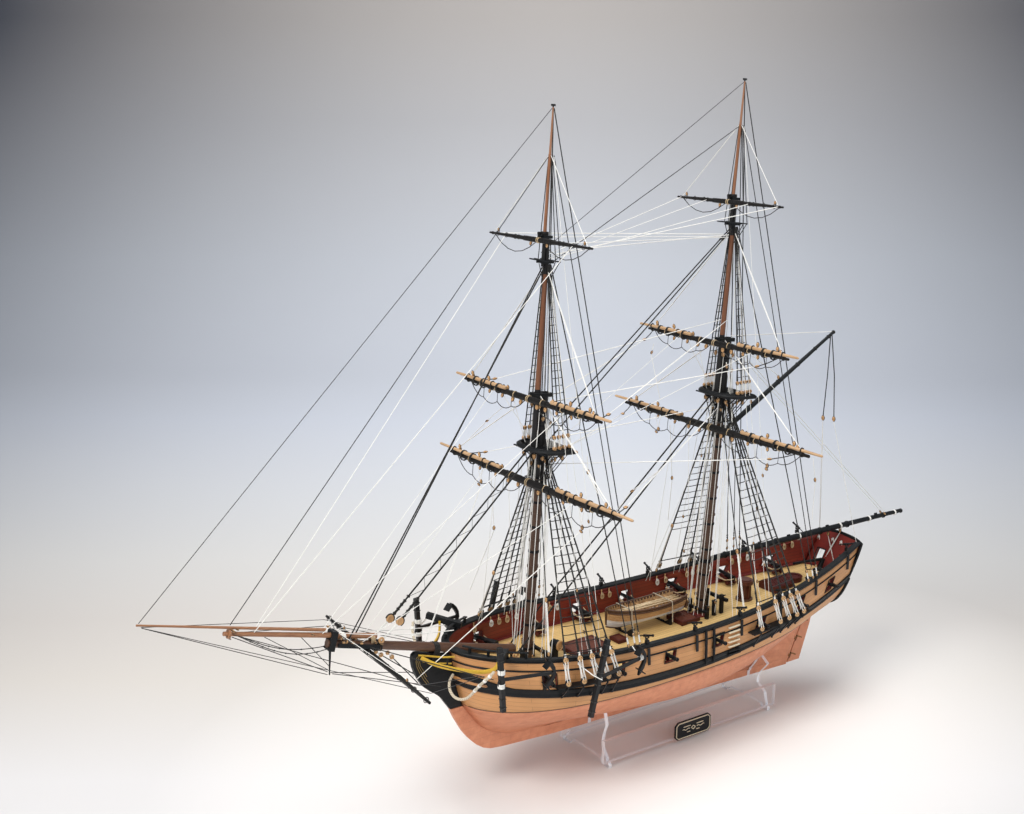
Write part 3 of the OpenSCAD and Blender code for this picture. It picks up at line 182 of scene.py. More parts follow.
M_WALNUT = wood("walnut_masts", (0.07, 0.036, 0.021), (0.215, 0.118, 0.066), "Z", 0.4, 0.4)
M_WALX = wood("walnut_bowsprit", (0.06, 0.026, 0.014), (0.15, 0.068, 0.035), "X", 0.38, 0.4)
M_MAHOG = wood("mahogany_poles", (0.13, 0.042, 0.018), (0.30, 0.115, 0.05), "Z", 0.35, 0.35)
M_MAHOGX = wood("mahogany_jibboom", (0.20, 0.075, 0.03), (0.42, 0.20, 0.09), "X", 0.35, 0.35)
M_BOX = wood("boxwood", (0.42, 0.22, 0.085), (0.70, 0.44, 0.21), "X", 0.42, 0.35, 0.35)
M_BOXY = wood("boxwood_booms", (0.46, 0.25, 0.10), (0.72, 0.46, 0.22), "Y", 0.42, 0.35, 0.35)
M_BOOMY = wood("boom_wood", (0.34, 0.19, 0.09), (0.68, 0.45, 0.25), "Y", 0.45, 0.35, 0.4)
M_BLOCK = wood("block_wood", (0.38, 0.19, 0.07), (0.70, 0.42, 0.19), "Z", 0.38, 0.3, 0.4)
M_CREAM = wood("holly_steps", (0.70, 0.58, 0.38), (0.86, 0.77, 0.58), "X", 0.45, 0.25)
M_OCHRE = paint("ochre_paint", (0.58, 0.36, 0.035), 0.40, wear=(0.30, 0.16, 0.02))
M_GILT = paint("gilt_paint", (0.26, 0.17, 0.045), 0.45, wear=(0.10, 0.06, 0.02))
M_WHITE = paint("white_paint", (0.74, 0.73, 0.70), 0.48, var=0.12)
M_BRASS = metal("aged_brass", (0.26, 0.13, 0.05), 0.4, 0.8)
M_IRON = metal("blackened_iron", (0.012, 0.012, 0.013), 0.42, 0.4)
M_ROPED = rope("tarred_rope", (0.006, 0.0055, 0.005), (0.02, 0.018, 0.015))
M_ROPEL = rope("manila_rope", (0.70, 0.67, 0.60), (0.96, 0.94, 0.88))
M_ROPEC = rope("cable_rope", (0.40, 0.33, 0.23), (0.68, 0.60, 0.46), k=0.45)
M_ROPET = rope("tan_rope", (0.42, 0.29, 0.15), (0.66, 0.50, 0.30))
M_ACRX = acrylic("clear_acrylic_cradle", (1, 0, 0)); M_ACRY = acrylic("clear_acrylic_side", (0, 1, 0))
M_DARK = paint("deep_shadow", (0.006, 0.004, 0.003), 0.7)
M_CREAMLINE = paint("cream_line", (0.70, 0.60, 0.42), 0.45, var=0.15)

# ------------------------------------------------------------------ builders
class G:
    """collects shapes given in millimetres into one mesh"""
    def __init__(s): s.v = []; s.f = []; s.uv = []; s.mi = []; s.cur = 0
    def add(s, v, f, uv=None):
        o = len(s.v); s.v += [tuple(map(float, p)) for p in v]; s.f += [tuple(o + i for i in q) for q in f]
        s.uv += list(uv) if uv is not None else [(float(p[0]), float(p[2])) for p in v]; s.mi += [s.cur] * len(f)
    def tube(s, pts, r, n=6, r2=None, caps=True):
        if r < .36: r *= 1.38
        P = np.array(pts, float); k = len(P)
        T = np.gradient(P, axis=0); T /= np.maximum(np.linalg.norm(T, axis=1, keepdims=True), 1e-9)
        a = np.array([0, 0, 1.0]) if abs(T[0][2]) < 0.9 else np.array([1.0, 0, 0])
        x = np.cross(a, T[0]); x /= np.linalg.norm(x); vs = []; uv = []; L = 0.0
        for i in range(k):
            if i: L += float(np.linalg.norm(P[i] - P[i - 1]))
            x = x - T[i] * np.dot(x, T[i]); x /= max(np.linalg.norm(x), 1e-9); y = np.cross(T[i], x)
            rr = r if r2 is None else r + (r2 - r) * i / (k - 1)
            for j in range(n):
                t = 2 * math.pi * j / n
                vs.append(P[i] + rr * (math.cos(t) * x + math.sin(t) * y)); uv.append((j / n, L))
        f = [(i * n + j, i * n + (j + 1) % n, (i + 1) * n + (j + 1) % n, (i + 1) * n + j) for i in range(k - 1) for j in range(n)]
        if caps: f += [tuple(range(n - 1, -1, -1)), tuple((k - 1) * n + j for j in range(n))]
        s.add(vs, f, uv); return s
    def line(s, a, b, r=0.3, sag=0.0, n=5, k=None):
        a = np.array(a, float); b = np.array(b, float); k = k or (2 if sag == 0 else 9)
        pts = [a + (b - a) * t - np.array([0, 0, 1]) * sag * 4 * t * (1 - t) for t in np.linspace(0, 1, k)]
        return s.tube(pts, r, n)
    def box(s, c, sz, R=None, bev=0.18):
        h = np.array(sz, float) / 2; b = min(bev, h.min() * 0.6); R = np.eye(3) if R is None else R
        vs = []; fs = []
        lay = [(-h[2], b), (-h[2] + b, 0), (h[2] - b, 0), (h[2], b)]
        for z, i in lay:
            X, Y = h[0] - i, h[1] - i
            vs += [(-X + b, -Y, z), (X - b, -Y, z), (X, -Y + b, z), (X, Y - b, z), (X - b, Y, z), (-X + b, Y, z), (-X, Y - b, z), (-X, -Y + b, z)]
        for l in range(3):
            for j in range(8): fs.append((l * 8 + j, l * 8 + (j + 1) % 8, (l + 1) * 8 + (j + 1) % 8, (l + 1) * 8 + j))
        fs += [tuple(range(7, -1, -1)), tuple(24 + j for j in range(8))]
        s.add([np.array(c) + R @ np.array(p) for p in vs], fs); return s
    def lathe(s, c, axis, prof, n=14):
        axis = np.array(axis, float); axis /= np.linalg.norm(axis)
        a = np.array([0, 0, 1.0]) if abs(axis[2]) < 0.9 else np.array([1.0, 0, 0]); x = np.cross(a, axis); x /= np.linalg.norm(x); y = np.cross(axis, x)
        vs = []; uv = []
        for h, r in prof:
            for j in range(n):
                t = 2 * math.pi * j / n; vs.append(np.array(c) + axis * h + max(r, 0.01) * (math.cos(t) * x + math.sin(t) * y)); uv.append((j / n * 6, h))
        k = len(prof); f = [(i * n + j, i * n + (j + 1) % n, (i + 1) * n + (j + 1) % n, (i + 1) * n + j) for i in range(k - 1) for j in range(n)]
        f += [tuple(range(n - 1, -1, -1)), tuple((k - 1) * n + j for j in range(n))]
        s.add(vs, f, uv); return s
    def grid(s, rows, uvs=None, flip=False, skip=None, closed=False):
        M, K = len(rows), len(rows[0]); vs = [p for r in rows for p in r]; f = []
        for i in range(M - 1):
            for j in range(K if closed else K - 1):
                if skip and skip(i, j): continue
                q = (i * K + j, (i + 1) * K + j, (i + 1) * K + (j + 1) % K, i * K + (j + 1) % K); f.append(q[::-1] if flip else q)
        s.add(vs, f, [q for r in uvs for q in r] if uvs else None); return s
    def mirror(s):
        o = len(s.v); nf = len(s.f); s.v += [(x, -y, z) for x, y, z in s.v[:o]]; s.uv += s.uv[:o]; s.f += [tuple(o + i for i in q[::-1]) for q in s.f[:nf]]; s.mi += s.mi[:nf]; return s
    def make(s, name, mats, body="ship", smooth=True, slot=None, solid=None, rim=0, auto=35, replaces=(), bevel=None):
        me = bpy.data.meshes.new(name); me.from_pydata([(a * 0.001, b * 0.001, c * 0.001) for a, b, c in s.v], [], s.f)
        mats = mats if isinstance(mats, (list, tuple)) else [mats]
        for m in mats: me.materials.append(m)
        me.polygons.foreach_set("material_index", s.mi); me.polygons.foreach_set("use_smooth", [smooth] * len(s.f))
        ul = me.uv_layers.new(name="UVMap"); li = np.zeros(len(me.loops), dtype=np.int32); me.loops.foreach_get("vertex_index", li)
        ul.data.foreach_set("uv", np.array(s.uv, dtype=np.float32)[li].ravel())
        me.update(); me.validate()
        if smooth and auto:
            try: me.set_sharp_from_angle(angle=math.radians(auto))
            except Exception: pass
        ob = bpy.data.objects.new(name, me); sc.collection.objects.link(ob)
        if solid:
            md = ob.modifiers.new("thick", "SOLIDIFY"); md.thickness = solid * 0.001; md.offset = -1; md.use_rim = True; md.material_offset_rim = rim; md.use_even_offset = False
        if bevel:
            md = ob.modifiers.new("edges", "BEVEL"); md.width = bevel * 0.001; md.segments = 2; md.limit_method = "ANGLE"; md.angle_limit = math.radians(40)
        if body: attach(ob, body)
        if replaces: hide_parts(*replaces)
        return ob

def rotz(a): c, s = math.cos(a), math.sin(a); return np.array([[c, -s, 0], [s, c, 0], [0, 0, 1.0]])
def roty(a): c, s = math.cos(a), math.sin(a); return np.array([[c, 0, s], [0, 1.0, 0], [-s, 0, c]])
def rotx(a): c, s = math.cos(a), math.sin(a); return np.array([[1.0, 0, 0], [0, c, -s], [0, s, c]])
def unit(v): v = np.array(v, float); return v / np.linalg.norm(v)
V = lambda *p: np.array(p, float)

# ------------------------------------------------------------------ hull form (same law as the CAD)
HB = 61.5; WL = 78.0; PT = 2.0; KH = 2.1
z_rail = lambda x: 112 + (4.42e-4 if x < 20 else 2.83e-4) * (x - 20) ** 2
z_wale = lambda x: 88.3 + 3.95e-4 * (x - 30) ** 2
z_deck = lambda x: 90.3 + 2.2e-4 * (x - 50) ** 2
z_rab = lambda x: 28 + 0.0363 * (x + 135)
aft_t = [[20, -130.4], [40, -139.5], [60, -148.6], [74, -155.0], [80, -158.4], [86, -164.5], [92, -173.0], [106, -183.5], [132, -198], [150, -207]]
fwd_t = [[30, 110], [37.8, 135], [40.7, 166], [45.9, 184.4], [54.2, 198.6], [65.3, 208], [73, 213.4], [80, 217.3], [95, 222], [122, 226], [150, 228]]
c_t = [[0, 12], [.03, 6.8], [.06, 4.3], [.1, 2.7], [.18, 1.55], [.26, 1.18], [.35, 1.0], [.45, .92], [.55, .92], [.69, 1.15], [.85, 1.35], [1, 1.5]]
b_t = [[0, 1.3], [.2, 1.8], [.4, 2.6], [.55, 2.8], [.7, 2.5], [.85, 2.2], [1, 2]]
clampf = lambda v, a, b: min(max(v, a), b)
def crv(x, t):
    x = clampf(x, t[0][0], t[-1][0]); i = 0
    while i < len(t) - 2 and x >= t[i + 1][0]: i += 1
    def sl(i):
        if i <= 0: return (t[1][1] - t[0][1]) / (t[1][0] - t[0][0])
        if i >= len(t) - 1: return (t[-1][1] - t[-2][1]) / (t[-1][0] - t[-2][0])
        return (t[i + 1][1] - t[i - 1][1]) / (t[i + 1][0] - t[i - 1][0])
    h = t[i + 1][0] - t[i][0]; s = (x - t[i][0]) / h
    return t[i][1] * (2 * s ** 3 - 3 * s * s + 1) + sl(i) * h * (s ** 3 - 2 * s * s + s) + t[i + 1][1] * (3 * s * s - 2 * s ** 3) + sl(i + 1) * h * (s ** 3 - s * s)
def ymax(X): return HB - 34 * ((60 - X) / 258) ** 2.4 if X < 60 else HB * math.sqrt(max(0, 1 - ((X - 60) / 166) ** 2.79))
def hx(u, z): return crv(z, aft_t) * (1 - u) + crv(z, fwd_t) * u
def hy(u, x, z):
    zb = z_rab(x); v = clampf((z - zb) / (86 - zb), 0, 1); f = max(0, 1 - (1 - v) ** crv(u, b_t)) ** crv(u, c_t)
    Y = ymax(-198 + 424 * u); th = 1.4 * ((z - 88) / 26) ** 2 if z > 88 else 0
    return max(KH + .6, KH + .6 + (Y - KH - .6) * f - th * min(1, Y / 25))
def S(u, z): x = hx(u, z); return V(x, hy(u, x, z), z)
def Nn(u, z):
    a = S(min(u + .003, 1), z) - S(max(u - .003, 0), z); b = S(u, z + .8) - S(u, z - .8); n = np.cross(b, a)
    n = n / max(np.linalg.norm(n), 1e-9); return -n if n[1] < 0 and u < .99 else n
def So(u, z, d):
    q = S(u, z) + Nn(u, z) * d; return V(q[0], max(KH + .05, q[1]), q[2])
def hull_y(x, z): u = (x - hx(0, z)) / (hx(1, z) - hx(0, z)); return hy(clampf(u, 0, 1), x, z)
def uof(x): z = z_deck(x) + 9.5; return (x - hx(0, z)) / (hx(1, z) - hx(0, z))
PORTS = [170, 112, 61, 9, -42, -96, -145]; PW = 10.0
edges = sorted([0.0] + [uof(p + s * PW / 2) for p in PORTS for s in (-1, 1)] + [.915, .935, .955, .97, .982, .991, .997, 1.0])
us = []
for a, b in zip(edges[:-1], edges[1:]):
    n = max(1, math.ceil((b - a) / .009)); us += [a + (b - a) * k / n for k in range(n)]
us.append(1.0)
def in_port(i): m = (us[i] + us[i + 1]) / 2; return any(uof(p - PW / 2) < m < uof(p + PW / 2) for p in PORTS)
def sub(a, b, n): return [a + (b - a) * k / n for k in range(n)]

def top_rows(x):
    a, b, c, d, e, f = WL, z_wale(x) - 6.5, z_wale(x), z_deck(x) + 5, z_deck(x) + 14.5, z_rail(x)
    return sub(a, b, 7) + sub(b, c, 2) + sub(c, d, 4) + sub(d, e, 4) + sub(e, f, 3) + [f]
g = G(); R = []; U = []
for u in us:
    x = hx(u, 96); zs = top_rows(x); R.append([So(u, z, 0) for z in zs]); U.append([(x, z - z_wale(x)) for z in zs])
g.grid(R, U, flip=True, skip=lambda i, j: 13 <= j < 17 and in_port(i)); g.mirror()
g.make("hull_planking", [M_PEAR, M_RED], solid=2.0, rim=1, auto=50, slot="pear_wood", replaces=("hull_topsides",))
# the copper: plates run along the waterline
g = G(); R = []; U = []
ub = [k / 110 * .9 for k in range(110)] + [.9, .91, .92, .93, .94, .95, .96, .97, .978, .985, .99, .995, 1.0]
rr = [0, .02, .045, .08, .12, .16, .2, .25, .3, .36, .42, .49, .56, .63, .7, .77, .84, .9, .95, 1]
for u in ub:
    row = []; x0 = hx(u, 60)
    for r in rr:
        z1 = z_rab(x0) + r * (WL - z_rab(x0)); x = hx(u, z1); z = z_rab(x) + r * (WL - z_rab(x)); row.append(So(u, max(z, 29), 0))
    L = 0; uv = [None] * len(row)
    for k in range(len(row) - 1, -1, -1):
        if k < len(row) - 1: L -= float(np.linalg.norm(row[k] - row[k + 1]))
        uv[k] = (row[k][0], L)
    R.append(row); U.append(uv)
g.grid(R, U, flip=True); g.mirror(); g.make("hull_coppering", M_COPPER, solid=1.2, auto=60, slot="copper_plate", replaces=("hull_bottom",))

def sweep(name, prof, zf, mat, ul=None, body="ship", slot=None, replaces=(), auto=40, mirror=True):
    g = G(); ul = ul or ub; R = []; U = []
    for u in ul:
        x = hx(u, 110); z = zf(x); R.append([So(u, z + q[1], q[0]) if len(q) == 2 else So(u, z, q[0]) + V(0, 0, q[2]) for q in prof]); U.append([(x, q[-1]) for q in prof])
    g.grid(R, U, flip=True, closed=True); K = len(prof); g.f.append(tuple(range(K - 1, -1, -1))); g.mi.append(0); o = (len(ul) - 1) * K; g.f.append(tuple(o + k for k in range(K))); g.mi.append(0)
    if mirror: g.mirror()
    return g.make(name, mat, body, auto=auto, slot=slot, replaces=replaces)
sweep("wale_strakes", [(-.3, -6.5), (.75, -6.5), (1.1, -6.15), (1.1, -3.45), (1.0, -3.3), (1.1, -3.15), (1.1, -.35), (.75, 0), (-.3, 0)], z_wale, M_INK, slot="black_wood", replaces=("wales",))
sweep("sheer_bead", [(-.2, -8.2), (.6, -8.2), (.85, -7.9), (.85, -7.3), (.6, -7.0), (-.2, -7.0)], z_rail, M_INK, slot="black_wood", replaces=("sheer_mouldings",))
sweep("drift_bead", [(-.2, -1.4), (.5, -1.4), (.6, -.9), (.5, -.2), (-.2, -.2)], z_rail, M_INK, slot="black_wood")
sweep("rail_caps", [(1.5, 0, .3), (1.85, 0, .6), (1.9, 0, 1.5), (1.5, 0, 1.95), (-3.7, 0, 1.95), (-4.1, 0, 1.5), (-4.1, 0, .6), (-3.8, 0, .3)], z_rail, M_INK, slot="black_wood", replaces=("cap_rails",))
# inner bulwark, planked and painted, with the gun ports open
g = G(); R = []; U = []
def in_rows(x): return sub(z_deck(x) + .3, z_deck(x) + 5, 3) + sub(z_deck(x) + 5, z_deck(x) + 14.5, 4) + sub(z_deck(x) + 14.5, z_rail(x) + .4, 3) + [z_rail(x) + .4]
for u in us:
    x = hx(u, 96); zs = in_rows(x); R.append([So(u, z, -3.1) for z in zs]); U.append([(x, z - z_deck(x)) for z in zs])
g.grid(R, U, flip=False, skip=lambda i, j: 3 <= j < 7 and in_port(i)); g.mirror()
g.make("bulwark_planks", [M_REDP, M_RED], solid=1.0, rim=1, auto=50, slot="red_wood", replaces=("bulwark_lining",))
# deck
du = [.004 + (.994 - .004) * k / 150 for k in range(151)]
dw = [-1 + 2 * k / 16 for k in range(17)]
def deck_pt(u, w, d=0):
    x = hx(u, 96); e = So(u, z_deck(x), -PT - .35); return V(e[0], e[1] * w, e[2] + 2.2 * (1 - w * w) + d)
g = G(); g.grid([[deck_pt(u, w) for w in dw] for u in du]); g.make("deck_planking", M_DECK, solid=1.4, auto=60, slot="deck_wood", replaces=("deck",))
def deck_z(x, y): e = max(6.0, hull_y(x, 98) - 2.3); w = clampf(y / e, -1, 1); return z_deck(x) + 2.2 * (1 - w * w)
# dark red waterway along the deck edge
sweep("waterways", [(-2.9, 0, -.4), (-2.9, 0, 1.9), (-3.7, 0, 1.8), (-5.2, 0, .55), (-5.4, 0, -.2)], z_deck, M_RED, ul=[k / 90 * .985 + .006 for k in range(91)], slot="red_wood")
M_CAPST = wood("padauk_capstan", (0.055, 0.014, 0.008), (0.14, 0.035, 0.018), "Z", 0.42, 0.35)

# ------------------------------------------------------------------ hull details
RK = [math.radians(3.8), math.radians(4.3)]; MX = [154.6, -28.2]
def M(m, z, off=0.0): return V(MX[m] - (z - 110) * math.tan(RK[m]) + off * math.cos(RK[m]), 0, z + off * math.sin(RK[m]))
def RM(m): return roty(-RK[m])
TOP = [266, 285]; CAP = [306, 329]; XT = [405, 423]; TCAP = [423, 443]; HND = [483, 502.5]; TRK = [518, 537.5]
CY = [240.5, 257.4]; TY = [304.7, 327.7]; GY = [421.6, 441.4]; OT = 6.6; OG = 9.8
sweep("waterline", [(-.3, -.3), (.1, -.3), (.14, .3), (-.3, .3)], lambda x: WL + .5, M_WALX, slot="walnut")
# short black cheek pieces that close the planking on the stem
g = G(); R = []
for k in range(15):
    u = .925 + .075 * k / 14; x = hx(u, 96); z0 = z_wale(x) - .3; h = 8.5 * ((k / 14) ** 1.3) + .3
    R.append([So(u, z0 + h * j / 4, 1.0) for j in range(5)])
g.grid(R, flip=True); g.mirror(); g.make("bow_cheeks", M_INK, solid=1.0, slot="black_wood")
# port-side frames
g = G()
for p in PORTS:
    for s in (-1, 1):
        u0 = uof(p + s * (PW / 2 + .35)); x = hx(u0, 96); a = So(u0, z_deck(x) + 4.6, .2); b = So(u0, z_deck(x) + 14.9, .2); g.tube([a, (a + b) / 2, b], .42, 4)
    for zz in (4.6, 14.9):
        pts = [So(u, z_deck(hx(u, 96)) + zz, .2) for u in np.linspace(uof(p - PW / 2 - .5), uof(p + PW / 2 + .5), 4)]; g.tube(pts, .38, 4)
g.mirror(); g.make("port_frames", M_INK, slot="black_wood")
# boarding steps, fenders
g = G()
for k in range(5):
    z = 91.6 + k * 4.1; x = -8.2; y = hull_y(x, z); a = math.atan2(hull_y(x + 6, z) - hull_y(x - 6, z), 12)
    g.box((x, y + 1.0, z), (12.6, 2.2, .95), rotz(a)); g.tube([V(x, y + 1.8, z + .48) + rotz(a) @ V(t, 0, 0) for t in (-6, -2, 2, 6)], .3, 5)
g.mirror(); g.make("boarding_steps", M_CREAM, slot="boxwood", replaces=("side_ladder",))
g = G(); x = -8.2; z = z_wale(x) - 3; g.box((x, hull_y(x, z) + 2.0, z - .6), (13.6, 2.4, 1.5)); g.box((x, hull_y(x, z) + 1.9, z + 2.1), (13.0, 2.2, 1.2))
for x in (24.6, 15.9):
    pts = [V(x, hull_y(x, zz) + (2.0 if zz > z_wale(x) else 2.5), zz) for zz in np.linspace(84.6, z_rail(x) + .6, 9)]
    for i in range(8): g.box((pts[i] + pts[i + 1]) / 2, (1.9, 1.7, float(np.linalg.norm(pts[i + 1] - pts[i])) + .1), rotx(math.atan2(-(pts[i + 1][1] - pts[i][1]), pts[i + 1][2] - pts[i][2])), .2)
g.mirror(); g.make("side_fenders", M_INKZ, slot="black_wood")
# gilt lines on the knee of the head, ochre head rails
g = G()
for s in (-1, 1):
    for k in range(3):
        o = 1.6 + 1.5 * k; pts = [(248.6, 101.2), (251.6, 105.6), (254.6, 111.4), (256.9, 117.4), (257.7, 122.4), (256.9, 125.8), (253.4, 126.4)]
        g.tube([(x - o, s * 1.95, z + (o * .5 if z < 112 else -o * .35 if z > 121 else 0)) for x, z in pts[k // 2:]], .17, 5)
g.make("knee_gilding", M_GILT, slot="ochre_paint")
def flat_rail(g, pts, w, h):
    pts = [np.array(p, float) for p in pts]; P = []
    for i in range(len(pts) - 1):
        for t in np.linspace(0, 1, 5)[:-1]: P.append(pts[i] * (1 - t) + pts[i + 1] * t)
    P.append(pts[-1]); P = np.array(P)
    for _ in range(3): P[1:-1] = (P[:-2] + 2 * P[1:-1] + P[2:]) / 4
    T = np.gradient(P, axis=0); rows = []
    for p, t in zip(P, T):
        t = t / np.linalg.norm(t); n = np.cross(V(0, 0, 1), t); n /= max(np.linalg.norm(n), 1e-6); b = np.cross(t, n)
        rows.append([p + n * (w / 2) * math.copysign(abs(math.cos(q)) ** .6, math.cos(q)) + b * (h / 2) * math.copysign(abs(math.sin(q)) ** .6, math.sin(q)) for q in np.linspace(0, 2 * math.pi, 13)[:-1]])
    g.grid(rows, closed=True, flip=True); K = 12; o = len(g.v) - len(rows) * K
    g.f += [tuple(o + j for j in range(K)), tuple(o + (len(rows) - 1) * K + j for j in range(K - 1, -1, -1))]; g.mi += [g.cur] * 2
g = G()
flat_rail(g, [[208.8, 41.0, 128.2], [209.3, 40.2, 122.6], [211.5, 37.8, 117.6], [218.5, 32.5, 115.4], [228, 24.6, 116.2], [239.8, 15.4, 118.4], [246.2, 9.0, 120.6], [252.6, 3.3, 124.8]], 1.8, 3.0)
flat_rail(g, [[227.6, 9.6, 121.6], [236, 7.5, 122.4], [245, 4.8, 124.6], [254.5, 2.9, 127.0]], 1.0, 1.3)
flat_rail(g, [[228.6, 7.0, 115.6], [238, 5.4, 117.6], [251, 3.0, 121.4]], .8, 1.1)
g.mirror(); g.make("ochre_head_rails", M_OCHRE, slot="ochre_paint", replaces=("head_rails",))
g = G()
for x, y, z0, z1 in ((233.4, 8.6, 116.2, 122.3), (240.4, 6.4, 118, 123.6), (247.4, 4.4, 120.4, 125.4)):
    flat_rail(g, [[x, y, z0], [x - .6, y - .4, (z0 + z1) / 2], [x - 1.4, y - 2.2, z1]], 1.2, 1.2)
g.mirror(); g.make("head_timbers", M_INK, slot="black_wood")
# raised black planksheer rail and timberheads round the bow
g = G()
for u in (.905, .935, .962, .985):
    x = hx(u, 118); p = So(u, z_rail(x) + 2.2, -1.6); g.box(p + V(0, 0, 1.8), (1.9, 1.9, 5.2), None, .3); g.box(p + V(0, 0, 4.0), (2.5, 2.5, 1.1), None, .3)
g.mirror()
flat_rail(g, [So(u, z_rail(hx(u, 118)) + 6.2, -1.5) for u in np.linspace(.90, .992, 9)], 2.4, 1.1); n0 = len(g.v)
flat_rail(g, [So(u, z_rail(hx(u, 118)) + 6.2, -1.5) * V(1, -1, 1) for u in np.linspace(.90, .992, 9)], 2.4, 1.1)
g.make("bow_timberheads", M_INK, slot="black_wood")

# ------------------------------------------------------------------ stern dressing
g = G(); zz = np.linspace(64, 103, 16)
for s in (-1, 1):
    P = [S(0, z) for z in zz]; flat_rail(g, [V(p[0] - .9, s * (p[1] + .35), p[2]) for p in P], 2.6, 2.8)
    flat_rail(g, [V(crv(103.2, aft_t) - 1.6 + math.sin(math.radians(-28.6)) * h, s * w, 103.2 + math.cos(math.radians(28.6)) * h) for h, w in ((0, 26.2), (10, 26.6), (20, 26.6), (30, 26.0))], 2.4, 2.2)
g.make("stern_edge_timbers", M_INK, slot="black_wood")
A = math.radians(-28.6)
def tr_pt(x, y, z): return V(crv(103.2, aft_t) - 1.0, 0, 103.2) + roty(A) @ V(x, y, z)
g = G(); g.cur = 0
out = [(-26, 0), (26, 0), (25.6, 30.5), (20, 33), (0, 34.6), (-20, 33), (-25.6, 30.5)]
flat_rail(g, [tr_pt(-1.2, y, z + .6) for y, z in ((-26, 30.4), (-20, 33), (-10, 34.2), (0, 34.7), (10, 34.2), (20, 33), (26, 30.4))], 2.2, 4.2)
for s in (-1, 1):
    for (y0, z0, y1, z1) in ((-4.8, 4.8, 4.8, 4.8), (-4.8, 16.2, 4.8, 16.2), (-4.8, 4.8, -4.8, 16.2), (4.8, 4.8, 4.8, 16.2)):
        g.tube([tr_pt(-2.7, s * 13 + y0, z0), tr_pt(-2.7, s * 13 + y1, z1)], .55, 6); g.tube([tr_pt(.2, s * 13 + y0, z0), tr_pt(.2, s * 13 + y1, z1)], .4, 6)
g.make("taffrail_cap", M_INK, slot="black_wood")
g = G()
for h in (20.5, 22, 27.5):
    g.tube([tr_pt(-2.75, y, h + 1.6 * (1 - (y / 26) ** 2)) for y in np.linspace(-24.6, 24.6, 12)], .38, 6)
g.make("taffrail_beads", M_OCHRE, slot="ochre_paint")

# ------------------------------------------------------------------ deck furniture dressing
g = G()
for (x, y, l, w, h) in ((98, 0, 34, 24, 3.4), (-8, 0, 20, 20, 3.2), (64, 2, 10, 12, 2.6)):
    z = z_deck(x) + 2.2 + h
    for s in (-1, 1):
        g.box((x, y + s * (w / 2 - .8), z + .12), (l + .6, 1.9, .55)); g.box((x + s * (l / 2 - .8), y, z + .12), (1.9, w - 2.2, .55))
g.make("hatch_coaming_caps", M_REDD, slot="red_wood")
g = G()
for (x, y, l, w, h) in ((98, 0, 34, 24, 3.4), (-8, 0, 20, 20, 3.2), (64, 2, 10, 12, 2.6)):
    z = z_deck(x) + 2.2 + h - .5; nx = int((l - 4) / 1.5); ny = int((w - 4) / 1.5)
    for k in range(nx + 1): g.box((x - l / 2 + 2 + k * (l - 4) / nx, y, z), (.7, w - 3.4, .7), None, .08)
    for k in range(ny + 1): g.box((x, y - w / 2 + 2 + k * (w - 4) / ny, z + .12), (l - 3.4, .7, .7), None, .08)
g.make("hatch_gratings", wood("grating_wood", (0.10, 0.025, 0.012), (0.22, 0.06, 0.03), "X", 0.5), slot="red_wood")
# skylight bars, companion trim
g = G(); x0 = -119; z0 = z_deck(-119) + 1.7
for s in (-1, 1):
    for k in range(9): g.tube([(x0 - 10 + 2.5 * k, s * 9.4, z0 + 6.0), (x0 - 10 + 2.5 * k, s * .8, z0 + 10.4)], .24, 5)
g.tube([(x0 - 12, 0, z0 + 10.4), (x0 + 12, 0, z0 + 10.4)], .8, 8)
for s in (-1, 1): g.tube([(x0 - 12.2, s * 9.9, z0 + 5.2), (x0 + 12.2, s * 9.9, z0 + 5.2)], .6, 6)
g.make("skylight_bars", M_REDD, slot="red_wood")
# binnacle-like low drum cover by the tiller
g = G(); g.lathe((-141, 0, z_deck(-141) + 5.6), (0, 0, 1), [(0, 7.0), (.5, 7.4), (1.2, 7.4), (1.6, 7.0), (1.6, 5.0), (1.2, 4.6), (.4, 4.55)], 28)
g.make("rudder_head_coat", M_REDD, slot="red_wood")
# galley pipe mouth with a pale rim
g = G(); zc = z_deck(128) + 1.9 + 10.6; d = unit(rotz(math.radians(12)) @ V(0, 1, 0)); c = V(128, -2.6, zc) + d * 7.4
g.lathe(c - d * .6, d, [(0, 3.7), (.5, 4.15), (1.1, 4.15), (1.4, 3.7), (1.3, 3.1), (.3, 2.9)], 24); g.make("galley_pipe_rim", M_BOX, slot="boxwood")
g = G(); g.lathe(V(128, -2.6, zc) - d * .2, d, [(0, 2.4), (.3, 3.62), (1.0, 3.75), (1.4, 3.62)], 24); g.lathe(V(128, -2.6, zc) + d * 3.2, d, [(0, 3.6), (.2, 3.85), (.8, 3.85), (1.0, 3.6)], 24); g.make("galley_pipe_bands", M_INK, slot="black_wood")
# belaying pin rails and pins along the bulwarks
g = G(); pins = G(); coils = G(); white = G()
def hank(g, p, n, L=5.4, W=1.9, r=.30, turns=4, seed=0):
    """a hank of rope hung over a pin: a few loops and a tie"""
    n = unit(n); t = unit(np.cross(V(0, 0, 1), n)); q = random.Random(seed)
    for k in range(turns):
        w = W * (0.55 + .16 * k); l = L * (0.86 + .05 * k) * q.uniform(.92, 1.08); pts = []
        for a in np.linspace(0, 2 * math.pi, 15): pts.append(p + t * (w * math.sin(a) * (0.6 + .4 * (1 - math.cos(a)) / 2)) + V(0, 0, -l * (1 - math.cos(a)) / 2) + n * (.25 + .28 * k))
        g.tube(pts, r, 5, caps=False)
    g.tube([p + t * -1.0 + V(0, 0, -1.3) + n * 1.5, p + V(0, 0, -1.1) + n * 1.9, p + t * 1.0 + V(0, 0, -1.5) + n * 1.5], r, 5)
PINX = [176, 156, 147, 138, 128, 118, 92, 84, 36, 28, -24, -33, -56, -62, -68, -74, -80, -104, -112, -120, -158, -166]
